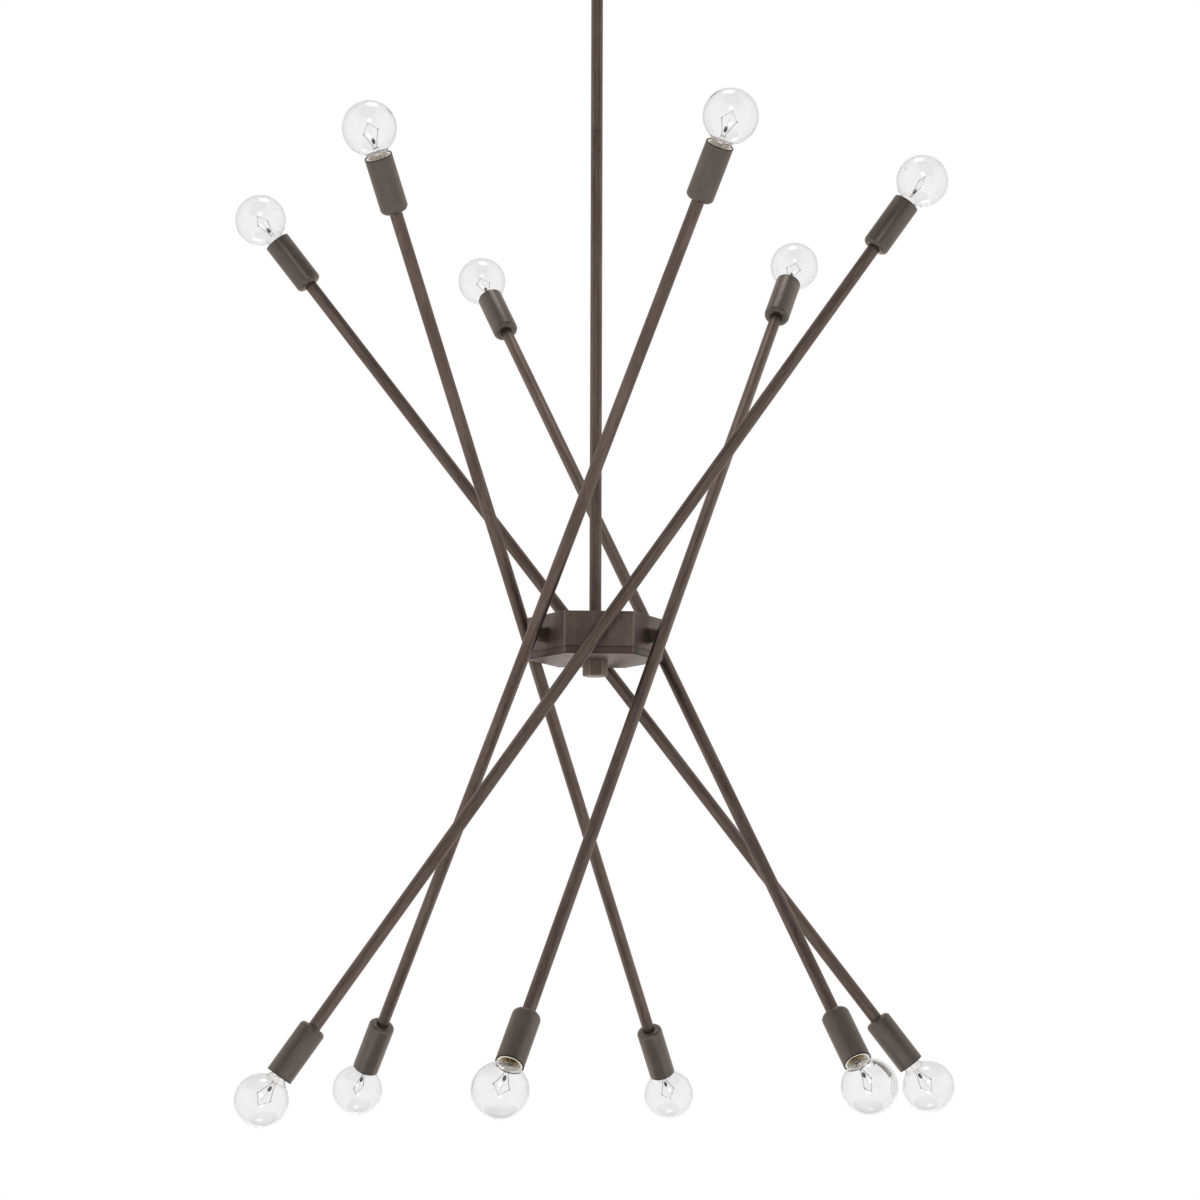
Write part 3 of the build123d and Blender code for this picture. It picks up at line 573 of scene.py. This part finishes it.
def glass_stem_mesh():
    """The bulb's inner glass: a flare sealed in the neck, the exhaust tube and the flat press."""
    seal = NECK_RADIUS - GLASS_WALL - SEAT_ROOM
    press_foot = STEM_TOP - PRESS_HEIGHT
    tube = [
        (0, NECK_FOOT), (seal, NECK_FOOT), (seal, NECK_FOOT + FLARE_RIM),
        (STEM_RADIUS + FLARE_WAIST_ROOM, NECK_FOOT + FLARE_WAIST), (STEM_RADIUS, NECK_FOOT + FLARE_TOP),
        (STEM_RADIUS, press_foot), (0, press_foot),
    ]
    press = [
        (0, press_foot), (STEM_RADIUS, press_foot), (PRESS_HALF_WIDTH, press_foot + PRESS_SHOULDER),
        (PRESS_HALF_WIDTH, STEM_TOP - PRESS_TIP[1]), (PRESS_HALF_WIDTH - PRESS_TIP[0], STEM_TOP),
        (0, STEM_TOP),
    ]
    flat = PRESS_HALF_THICKNESS / PRESS_HALF_WIDTH
    return joined(
        "glass_stem",
        turned("exhaust_tube", softened(tube, GLASS_EDGE), sides=STEM_SIDES),
        turned("press", softened(press, PRESS_EDGE), sides=STEM_SIDES, flatten=flat),
    )


def bead_mesh():
    """The dark bead that carries the middle support."""
    sides = arc((0.0, 0.0), 1.0, -90, 90, BEAD_STEPS)[1:-1]
    outline = [(0.0, BEAD_CENTRE - BEAD_HALF_HEIGHT)]
    outline += [(BEAD_RADIUS * across, BEAD_CENTRE + BEAD_HALF_HEIGHT * up) for across, up in sides]
    outline += [(0.0, BEAD_CENTRE + BEAD_HALF_HEIGHT)]
    return turned("bead", outline, sides=BEAD_SIDES)


# ---------------------------------------------------------------- finishes
def new_finish(name):
    """A material and its principled shader."""
    finish = bpy.data.materials.new(name)
    finish.use_nodes = True
    return finish, finish.node_tree, finish.node_tree.nodes["Principled BSDF"]


def noise(tree, place, scale, detail=4.0, roughness=0.6):
    """A noise pattern's strength."""
    inputs = {"Vector": place, "Scale": scale, "Detail": detail, "Roughness": roughness}
    return add(tree, "ShaderNodeTexNoise", None, inputs).outputs["Fac"]


def ramp(tree, strength, *stops):
    """A colour for each strength, from stops of (position, colour)."""
    made = add(tree, "ShaderNodeValToRGB", None, {"Fac": strength})
    band = made.color_ramp.elements
    while len(band) < len(stops):
        band.new(0.5)
    for element, (position, colour) in zip(band, stops):
        element.position = position
        element.color = (*colour, 1.0)
    return made.outputs["Color"]


def blend(tree, share, first, second):
    """Two colours mixed."""
    mixed = add(tree, "ShaderNodeMix", {"data_type": "RGBA"}, {"Factor": share})
    for socket, value in ((mixed.inputs[6], first), (mixed.inputs[7], second)):
        if isinstance(value, bpy.types.NodeSocket):
            tree.links.new(value, socket)
        else:
            socket.default_value = (*value, 1.0)
    return mixed.outputs[2]


def spread(tree, strength, low, high, from_low=0.3, from_high=0.7):
    """A strength stretched between two values."""
    ends = {"From Min": from_low, "From Max": from_high, "To Min": low, "To Max": high}
    return add(tree, "ShaderNodeMapRange", None, {"Value": strength} | ends).outputs["Result"]


def uneven(tree, shader, height, strength, distance):
    """Bump from a height."""
    sizes = {"Height": height, "Strength": strength, "Distance": distance}
    bump = add(tree, "ShaderNodeBump", None, sizes)
    tree.links.new(bump.outputs["Normal"], shader.inputs["Normal"])


def off_stem(tree, place):
    """How far a place is from the stem's axis."""
    level = {0: place, 1: (1.0, 1.0, 0.0)}
    around = add(tree, "ShaderNodeVectorMath", {"operation": "MULTIPLY"}, level).outputs[0]
    return add(tree, "ShaderNodeVectorMath", {"operation": "LENGTH"}, {0: around}).outputs["Value"]


# The bronze paint. Scales are against the grain, and stops are strengths of the noise.
BROAD_SCALE = 0.22
BROAD_SHARE = 0.45
TONE_STOPS = (0.30, 0.50, 0.70)
SPOT_SCALE = 0.5
SPOT_SHARE = 0.75
SPOT_STOPS = (0.54, 0.72)
# How strong the painted shade band is and how it fades.
DARK_SHARE = 0.85
DARK_FADE = 4 / 3
# How the painted highlight band fades in, how much of it shows and how much lighter it is.
HIGHLIGHT_FADE = 0.5
HIGHLIGHT_SHARE = (0.25, 0.5)
HIGHLIGHT_GAIN = 2.1
BUMP_SCALE = 1.5
ROUGHNESS_SWING = 0.07
PAINT_RELIEF = 0.06 * MM


def bronze_finish(name, tones, streaks, gloss, spots=None, highlight_band=None, dark=None, along_tube=False):
    """Dark bronze paint, abraded back in streaks and blotches, with spots of another colour.

    streaks are how much longer they are along Z and how fine the pattern is. gloss is the roughness,
    how metallic it is and the relief. highlight_band are the least and most distance from the stem
    between which a painted highlight is laid on, broken up by the mottle. dark is a height, how far a
    band of painted shade reaches to both sides of it, and its colour.
    """
    finish, tree, shader = new_finish(name)
    stretch, grain = streaks
    rough, metallic, relief = gloss
    if along_tube:
        place = add(tree, "ShaderNodeAttribute", {"attribute_name": "along_tube"}).outputs["Vector"]
    else:
        place = tree.nodes.new("ShaderNodeTexCoord").outputs["Object"]
    lengthened = (1.0, 1.0, 1.0 / stretch)
    streaked = add(tree, "ShaderNodeMapping", None, {"Vector": place, "Scale": lengthened}).outputs[0]
    fine = noise(tree, streaked, grain, detail=5.0, roughness=0.65)
    broad = noise(tree, streaked, grain * BROAD_SCALE, detail=3.0, roughness=0.5)
    mottle = blend(tree, BROAD_SHARE, fine, broad)
    colour = ramp(tree, mottle, *zip(TONE_STOPS, tones))
    specks = noise(tree, streaked, grain * SPOT_SCALE, detail=4.0, roughness=0.7)
    spotted = spread(tree, specks, 0.0, SPOT_SHARE, *SPOT_STOPS)
    colour = blend(tree, spotted, colour, spots or RUST)
    # Painted shade: a darker band about a height, at a sleeve's mouth and at the hub cover's groove.
    if dark:
        middle, reach, shadow = dark
        height = add(tree, "ShaderNodeSeparateXYZ", None, {0: place}).outputs["Z"]
        off = maths(tree, "ABSOLUTE", maths(tree, "SUBTRACT", height, middle * MM))
        shade = spread(tree, off, DARK_SHARE, 0.0, reach * MM, reach * DARK_FADE * MM)
        colour = blend(tree, shade, colour, shadow)
    # A painted highlight: lighter between two distances from the stem's axis, broken up by the mottle.
    if highlight_band:
        least, most = highlight_band
        out = off_stem(tree, place)
        past = spread(tree, out, 0.0, 1.0, least * MM, (least + HIGHLIGHT_FADE) * MM)
        before = spread(tree, out, 1.0, 0.0, most * MM, (most + HIGHLIGHT_FADE) * MM)
        band = maths(tree, "MULTIPLY", past, before)
        highlight_share = maths(tree, "MULTIPLY", band, spread(tree, fine, *HIGHLIGHT_SHARE))
        colour = blend(tree, highlight_share, colour, tuple(min(1.0, HIGHLIGHT_GAIN * part) for part in tones[2]))
    tree.links.new(colour, shader.inputs["Base Color"])
    roughness = spread(tree, fine, rough - ROUGHNESS_SWING, rough + ROUGHNESS_SWING)
    tree.links.new(roughness, shader.inputs["Roughness"])
    shader.inputs["Metallic"].default_value = metallic
    shader.inputs["Specular Tint"].default_value = (*WARM_EDGE, 1.0)
    bumps = noise(tree, place, grain * BUMP_SCALE, detail=2.0, roughness=0.5)
    uneven(tree, shader, bumps, relief, PAINT_RELIEF)
    return finish


FAINT_RELIEF = 0.03 * MM
CLOUD_STOPS = (0.3, 0.7)
CLOUDED_ROUGHNESS = (0.08, -0.04)
SCRATCH_SCALE = 3.0
SCRATCH_STRENGTH = 0.12


def plain_metal_finish(name, light, dark, grain, rough):
    """Bright metal with faint clouding. grain is how fine it is, and rough the roughness."""
    finish, tree, shader = new_finish(name)
    place = tree.nodes.new("ShaderNodeTexCoord").outputs["Object"]
    cloud = noise(tree, place, grain)
    tree.links.new(ramp(tree, cloud, *zip(CLOUD_STOPS, (dark, light))), shader.inputs["Base Color"])
    roughness = spread(tree, cloud, *(rough + change for change in CLOUDED_ROUGHNESS))
    tree.links.new(roughness, shader.inputs["Roughness"])
    shader.inputs["Metallic"].default_value = 1.0
    uneven(tree, shader, noise(tree, place, grain * SCRATCH_SCALE), SCRATCH_STRENGTH, FAINT_RELIEF)
    return finish


FLOW_SCALE = 320.0
FLOW_ROUGHNESS = (-0.05, 0.08)
SKIN_SCALE = 1400.0
SKIN_STRENGTH = 0.15


def moulded_finish(name, light, dark, rough):
    """A moulded body with faint flow marks."""
    finish, tree, shader = new_finish(name)
    place = tree.nodes.new("ShaderNodeTexCoord").outputs["Object"]
    flow = noise(tree, place, FLOW_SCALE, detail=3.0)
    tree.links.new(ramp(tree, flow, *zip(CLOUD_STOPS, (dark, light))), shader.inputs["Base Color"])
    roughness = spread(tree, flow, *(rough + change for change in FLOW_ROUGHNESS))
    tree.links.new(roughness, shader.inputs["Roughness"])
    uneven(tree, shader, noise(tree, place, SKIN_SCALE), SKIN_STRENGTH, FAINT_RELIEF)
    return finish


GLASS_DEPTHS = ((0.2, 1.0), (0.45, 0.94), (0.65, 0.82), (1.0, 0.5))  # how edge-on, share of the tint
WAVE_SCALE = 28.0
WAVE_STRENGTH = 0.04
WAVE_RELIEF = 0.4 * MM


def glass_finish(name, tint, index):
    """Clear lamp glass, grey towards its edge and a little wavy, as blown glass is.

    To shadow and diffuse rays it is a plain tint, so that the lamps' light goes through it.
    """
    finish, tree, shader = new_finish(name)
    place = tree.nodes.new("ShaderNodeTexCoord").outputs["Object"]
    facing = add(tree, "ShaderNodeLayerWeight", None, {"Blend": 0.5}).outputs["Facing"]
    stops = [(position, tuple(part * depth for part in tint)) for position, depth in GLASS_DEPTHS]
    tree.links.new(ramp(tree, facing, *stops), shader.inputs["Base Color"])
    shader.inputs["Roughness"].default_value = 0.0
    shader.inputs["IOR"].default_value = index
    shader.inputs["Transmission Weight"].default_value = 1.0
    waves = noise(tree, place, WAVE_SCALE, detail=1.0, roughness=0.3)
    uneven(tree, shader, waves, WAVE_STRENGTH, WAVE_RELIEF)
    path = tree.nodes.new("ShaderNodeLightPath").outputs
    lit = maths(tree, "MAXIMUM", path["Is Shadow Ray"], path["Is Diffuse Ray"])
    clear = add(tree, "ShaderNodeBsdfTransparent", None, {"Color": (*tint, 1.0)})
    mixed = add(tree, "ShaderNodeMixShader", None, {0: lit, 1: shader.outputs[0], 2: clear.outputs[0]})
    tree.links.new(mixed.outputs[0], tree.nodes["Material Output"].inputs["Surface"])
    return finish


ARM_TONES = ((0.048, 0.034, 0.028), (0.092, 0.068, 0.057), (0.152, 0.120, 0.102))
HUB_TONES = ((0.044, 0.030, 0.025), (0.073, 0.051, 0.043), (0.115, 0.086, 0.072))
FINIAL_TONES = ((0.082, 0.059, 0.048), (0.125, 0.092, 0.076), (0.182, 0.141, 0.119))
BARREL_TONES = ((0.026, 0.018, 0.015), (0.044, 0.031, 0.026), (0.110, 0.086, 0.073))
SLEEVE_TONES = ((0.074, 0.062, 0.054), (0.090, 0.077, 0.068), (0.108, 0.094, 0.084))
RUST = (0.090, 0.042, 0.028)
# LIP_DARK is the near-black of the painted shade round each sleeve's mouth.
LIP_DARK = (0.010, 0.008, 0.007)
WARM_EDGE = (1.0, 0.91, 0.85)

# Each look is the streaks and the gloss of bronze_finish.
TUBE_LOOK = ((9.0, 700.0), (0.42, 0.8, 0.12))
SLEEVE_LOOK = ((2.0, 500.0), (0.36, 0.8, 0.04))
BARREL_LOOK = ((1.0, 420.0), (0.42, 0.5, 0.12))
HUB_LOOK = ((3.0, 420.0), (0.45, 0.45, 0.12))
CANOPY_LOOK = ((1.0, 300.0), (0.45, 0.45, 0.12))
FAR = 200.0
# A painted highlight: a lighter ring round the barrel's root, next to the hub's face.
BARREL_ROOT_HIGHLIGHT = (50.0, HUB_FACE + 1.2)
# Painted highlights: lighter lines along the hub's and the finial's corners.
HUB_CORNER_HIGHLIGHT = (HUB_CORNER - 0.8, FAR)
FINIAL_CORNER_HIGHLIGHT = (FINIAL_CORNER - 0.6, FAR)
# Painted shade: a near-black band round each sleeve's mouth.
LIP_SHADOW = (SLEEVE_MOUTH, 0.75, LIP_DARK)
# Painted shade: a darker band about the hub cover's groove.
GROOVE_SHADOW = (HUB_GROOVE, 4.5, HUB_TONES[0])

arm_bronze = bronze_finish("arm_finish", ARM_TONES, *TUBE_LOOK, along_tube=True)
stem_bronze = bronze_finish("stem_finish", ARM_TONES, *TUBE_LOOK)
sleeve_bronze = bronze_finish(
    "sleeve_finish", SLEEVE_TONES, *SLEEVE_LOOK, spots=SLEEVE_TONES[0], dark=LIP_SHADOW, along_tube=True,
)
barrel_bronze = bronze_finish("barrel_finish", BARREL_TONES, *BARREL_LOOK, highlight_band=BARREL_ROOT_HIGHLIGHT)
hub_bronze = bronze_finish("hub_finish", HUB_TONES, *HUB_LOOK, highlight_band=HUB_CORNER_HIGHLIGHT)
cover_bronze = bronze_finish("cover_finish", HUB_TONES, *HUB_LOOK, highlight_band=HUB_CORNER_HIGHLIGHT, dark=GROOVE_SHADOW)
finial_bronze = bronze_finish("finial_finish", FINIAL_TONES, *HUB_LOOK, highlight_band=FINIAL_CORNER_HIGHLIGHT)
canopy_bronze = bronze_finish("canopy_finish", HUB_TONES, *CANOPY_LOOK)
zinc = plain_metal_finish("zinc_plate", (0.66, 0.66, 0.65), (0.52, 0.53, 0.53), 180.0, 0.34)
cream = moulded_finish("cream_moulding", (0.86, 0.83, 0.74), (0.80, 0.77, 0.68), 0.38)
brass = plain_metal_finish("socket_brass", (0.74, 0.55, 0.27), (0.52, 0.36, 0.16), 260.0, 0.28)
cap_metal = plain_metal_finish("cap_metal", (0.76, 0.66, 0.46), (0.62, 0.52, 0.34), 260.0, 0.26)
dark_glass = moulded_finish("dark_insulator", (0.03, 0.03, 0.032), (0.018, 0.018, 0.02), 0.2)
bead_dark = moulded_finish("bead_dark", (0.045, 0.045, 0.048), (0.03, 0.03, 0.032), 0.3)
wire_metal = plain_metal_finish("wire_metal", (0.34, 0.34, 0.35), (0.24, 0.24, 0.25), 900.0, 0.36)
bulb_glass = glass_finish("clear_lamp_glass", (0.925, 0.920, 0.922), 1.47)
stem_glass = glass_finish("lamp_stem_glass", (0.95, 0.955, 0.95), 1.5)


# ---------------------------------------------------------------- pieces on the bodies
def show(mesh, name, body, slot, *nodes):
    """A finished piece on its body, which stands for its nodes."""
    piece = bpy.data.objects.new(name, mesh)
    scene.collection.objects.link(piece)
    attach(piece, body)
    if nodes:
        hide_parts(*nodes)


ends_tree = arm_ends_tree()
threads = threads_tree()
bulb_wires = bulb_wires_tree()

cap_thread = grow(
    threads, "cap_thread", Radius=CAP_ROOT, Ridge=CAP_RADIUS - CAP_ROOT, Pitch=THREAD_PITCH,
    Turns=CAP_THREAD_TURNS, Start=CAP_THREAD_START, Copies=1, Spacing=0.0, Scale=1.0, Finish=cap_metal,
)
shell_thread = grow(
    threads, "shell_thread", Radius=SHELL_BORE, Ridge=SHELL_RIDGE, Pitch=THREAD_PITCH,
    Turns=SHELL_THREAD_TURNS, Start=SHELL_THREAD_START, Copies=1, Spacing=0.0, Scale=1.0, Finish=brass,
)
wires = grow(
    bulb_wires, "wires", Root_Width=LEAD_ROOT, Root_Height=STEM_TOP - LEAD_SINK, Tip_Width=LEAD_TIP,
    Tip_Height=LEAD_TIP_HEIGHT, Top_Height=FILAMENT_TOP, Lead_Radius=LEAD_RADIUS,
    Coil_Radius=COIL_RADIUS, Coil_Wire=COIL_WIRE_RADIUS, Coil_Turns=COIL_TURNS,
    Support_Radius=SUPPORT_RADIUS, Finish=wire_metal,
)

# Each lamp piece: its name, its mesh, how many ends of an arm it is on, its finish, its slot
# and its node.
ARM_PIECES = (
    ("rod", tube_mesh(), 1, arm_bronze, "bronze", "tube"),
    ("sleeve_pair", sleeve_mesh(), 2, sleeve_bronze, "sleeve_bronze", "sleeves"),
    ("socket_pair", socket_mesh(), 2, cream, "socket_cream", "sockets"),
    ("shell_pair", shell_mesh(), 2, brass, "brass", "screw_shells"),
    ("shell_threads", shell_thread, 2, brass, "brass", "screw_shells"),
    ("caps", cap_mesh(), 2, cap_metal, "bulb_cap", "bulb_bases"),
    ("cap_threads", cap_thread, 2, cap_metal, "bulb_cap", "bulb_bases"),
    ("cap_insulators", insulator_mesh(), 2, dark_glass, "bulb_cap", "bulb_bases"),
    ("globes", globe_mesh(), 2, bulb_glass, "bulb_glass", "bulb_glass"),
    ("glass_stems", glass_stem_mesh(), 2, stem_glass, "bulb_wire", "bulb_mounts"),
    ("bulb_wires", wires, 2, wire_metal, "bulb_wire", "bulb_mounts"),
    ("bulb_beads", bead_mesh(), 2, bead_dark, "bulb_wire", "bulb_mounts"),
)


PATTERN_STEP = Vector((0.37, 0.11, 0.0))  # from one arm's place in the paint's pattern to the next


def arm_place(number):
    """Where an arm's tube is centred, and how it is turned: X away from the stem, Z up the tube."""
    joint = next(j for j in frame["joints"] if j["child"] == f"arm_{number + 1}")
    outward = -Vector(joint["axis"]).normalized()
    sideways = Vector((0, 0, 1)).cross(outward)
    tilt = math.radians(ARM_TILTS[number])
    along = sideways * math.sin(tilt) + Vector((0, 0, 1)) * math.cos(tilt)
    turn = Matrix((outward, along.cross(outward), along)).transposed()
    return Vector(joint["pos_m"]), Vector(turn.to_euler())


def finish_node(node, finish):
    """A CAD node whose shape is right gets its finish."""
    for slot in frame["nodes"][node].material_slots:
        slot.material = finish


def dress_arm(number):
    """Every lamp piece of one arm, and its barrel's finish."""
    body = f"arm_{number + 1}"
    centre, turn = arm_place(number)
    pattern = PATTERN_STEP * number
    upper, lower = (math.radians(angle) for angle in BULB_TURNS[number])
    for name, mesh, ends, finish, slot, node in ARM_PIECES:
        placed = grow(
            ends_tree, f"{body}_{name}", mesh, Ends=ends, First_Turn=upper, Next_Turn=lower - upper,
            Arm_Turn=turn, Arm_Centre=centre, Pattern_Place=pattern, Finish=finish,
        )
        show(placed, f"{body}_{name}", body, slot, f"{body}_{node}")
    finish_node(f"{body}_swivel", barrel_bronze)


def dress_stem():
    """The lower rod, which is seen most, and the threads of the canopy screws."""
    corners = [(ROD_BORE, ROD_FOOT), (ROD_RADIUS, ROD_FOOT), (ROD_RADIUS, ROD_TOP - ROD_CHAMFER)]
    corners += [(ROD_RADIUS - ROD_CHAMFER, ROD_TOP), (ROD_BORE, ROD_TOP)]
    rod = turned("stem_rod", softened(corners, ROD_EDGE), unit=MM)
    rod.materials.append(stem_bronze)
    show(rod, "stem_rod", "pendant", "bronze", "lower_rod")
    screw_threads = grow(
        threads, "screw_threads", Radius=SCREW_RADIUS - SCREW_RIDGE / 2, Ridge=SCREW_RIDGE,
        Pitch=SCREW_PITCH, Turns=(SCREW_LENGTH - 2 * SCREW_BARE_END) / SCREW_PITCH,
        Start=SCREW_BARE_END - SCREW_LENGTH, Copies=2, Spacing=SCREW_SPACING, Scale=MM, Finish=zinc,
    )
    show(screw_threads, "screw_threads", "ceiling_set", "zinc")


NODE_FINISHES = {
    "mounting_bracket": zinc, "canopy_screws": zinc, "threaded_nipples": zinc, "canopy": canopy_bronze,
    "canopy_nuts": canopy_bronze, "swivel_yoke": canopy_bronze, "swivel_pins": canopy_bronze,
    "upper_rod": stem_bronze, "hub_body": hub_bronze, "hub_cover": cover_bronze,
    "hub_finial": finial_bronze,
}


# ---------------------------------------------------------------- room and light
# Light of the room by direction: strengths, and the parts of the direction between which they change
CAMERA_SIDE = 0.6
CAMERA_SIDE_GLOSS = 0.3
CAMERA_SIDE_REACH = (-0.95, 0.1)
LOW_GLOSS = 0.9
LOW_GLOSS_REACH = (0.04, 0.25)
SIDE_WALLS = 0.5
SIDE_WALLS_REACH = (0.55, 0.95)

# The floor: its paint, how much of it is plain white to the camera and to glossy rays, and how
# bright it is in gloss, below the lamps and further out: painted shade in its reflections below
# the lamps and a painted glow further out
FLOOR_HEIGHT = -2.4
FLOOR_RADIUS = 12.0
FLOOR_SIDES = 128
FLOOR_PAINT = (0.86, 0.86, 0.86, 1.0)
FLOOR_ROUGHNESS = 0.9
FLOOR_SEEN_WHITE = 0.55
FLOOR_GLOSS_SHARE = 0.9
FLOOR_GLOSS = (0.02, 1.3)
FLOOR_GLOSS_REACH = (0.95, 1.35)

OBJECT_CENTRE = Vector((0.0, 0.0, -0.7))


def make_floor():
    """A plain pale round floor, well below the lamps. In gloss it has painted shade near the stem's
    axis and a painted glow further out.
    """
    shape = bmesh.new()
    bmesh.ops.create_circle(shape, cap_ends=True, segments=FLOOR_SIDES, radius=FLOOR_RADIUS)
    mesh = bpy.data.meshes.new("floor")
    shape.to_mesh(mesh)
    shape.free()
    mesh.transform(Matrix.Translation((0, 0, FLOOR_HEIGHT)))
    finish, tree, shader = new_finish("floor_white")
    shader.inputs["Base Color"].default_value = FLOOR_PAINT
    shader.inputs["Roughness"].default_value = FLOOR_ROUGHNESS
    out = off_stem(tree, tree.nodes.new("ShaderNodeTexCoord").outputs["Object"])
    path = tree.nodes.new("ShaderNodeLightPath").outputs
    in_gloss = spread(tree, out, *FLOOR_GLOSS, *FLOOR_GLOSS_REACH)
    strength = spread(tree, path["Is Camera Ray"], in_gloss, 1.0, 0.0, 1.0)
    bright = add(tree, "ShaderNodeEmission", None, {"Color": (1, 1, 1, 1), "Strength": strength})
    seen = maths(tree, "MULTIPLY", path["Is Camera Ray"], FLOOR_SEEN_WHITE)
    glossy = maths(tree, "MULTIPLY", path["Is Glossy Ray"], FLOOR_GLOSS_SHARE)
    share = maths(tree, "MAXIMUM", seen, glossy)
    both = {0: share, 1: shader.outputs[0], 2: bright.outputs[0]}
    mixed = add(tree, "ShaderNodeMixShader", None, both)
    tree.links.new(mixed.outputs[0], tree.nodes["Material Output"].inputs["Surface"])
    mesh.materials.append(finish)
    floor = bpy.data.objects.new("floor", mesh)
    scene.collection.objects.link(floor)


def make_world():
    """A white room, dimmer from the camera's side. In gloss that side is bright only low down."""
    world = bpy.data.worlds.new("studio")
    world.use_nodes = True
    scene.world = world
    tree = world.node_tree
    direction = tree.nodes.new("ShaderNodeTexCoord").outputs["Generated"]
    path = tree.nodes.new("ShaderNodeLightPath").outputs
    across, away, up = add(tree, "ShaderNodeSeparateXYZ", None, {0: direction}).outputs
    gloss = spread(tree, up, LOW_GLOSS, CAMERA_SIDE_GLOSS, *LOW_GLOSS_REACH)
    front = spread(tree, path["Is Glossy Ray"], CAMERA_SIDE, gloss, 0.0, 1.0)
    around = spread(tree, away, front, 1.0, *CAMERA_SIDE_REACH)
    walls = spread(tree, maths(tree, "ABSOLUTE", across), 0.0, SIDE_WALLS, *SIDE_WALLS_REACH)
    level = maths(tree, "ADD", around, walls)
    soft = tree.nodes["Background"]
    soft.inputs["Color"].default_value = (1, 1, 1, 1)
    tree.links.new(level, soft.inputs["Strength"])
    white = add(tree, "ShaderNodeBackground", None, {"Color": (1, 1, 1, 1), "Strength": 1.0})
    clear = maths(tree, "MAXIMUM", path["Is Camera Ray"], path["Is Transmission Ray"])
    last = add(tree, "ShaderNodeMixShader", None, {0: clear, 1: soft.outputs[0], 2: white.outputs[0]})
    tree.links.new(last.outputs[0], tree.nodes["World Output"].inputs["Surface"])


def make_lamp(name, azimuth, elevation, distance, size, power, through_glass):
    """A round soft lamp aimed at the object. Azimuth 0 is the camera's side, and it turns towards +X."""
    a, e = math.radians(azimuth), math.radians(elevation)
    away = Vector((math.sin(a) * math.cos(e), -math.cos(a) * math.cos(e), math.sin(e)))
    light = bpy.data.lights.new(name, "AREA")
    light.shape = "DISK"
    light.size = size
    light.energy = power
    lamp = bpy.data.objects.new(name, light)
    place = Matrix.Translation(OBJECT_CENTRE + away * distance)
    lamp.matrix_world = place @ away.to_track_quat("Z", "Y").to_matrix().to_4x4()
    lamp.visible_camera = False
    lamp.visible_transmission = through_glass
    scene.collection.objects.link(lamp)


def make_lights():
    """A large round lamp beyond the camera, one overhead, and light thrown back up by the floor."""
    make_lamp(
        "front_lamp", azimuth=-3, elevation=19, distance=6.3, size=2.0, power=36, through_glass=True,
    )
    make_lamp(
        "overhead_lamp", azimuth=0, elevation=96, distance=2.8, size=1.1, power=10, through_glass=True,
    )
    make_lamp(
        "floor_light", azimuth=0, elevation=-89, distance=1.6, size=3.0, power=12, through_glass=False,
    )


# ---------------------------------------------------------------- the whole
make_camera()
make_world()
make_lights()
make_floor()
for arm_number in range(len(ARM_TILTS)):
    dress_arm(arm_number)
dress_stem()
for node_name, node_finish in NODE_FINISHES.items():
    finish_node(node_name, node_finish)

scene.view_settings.view_transform = "Standard"
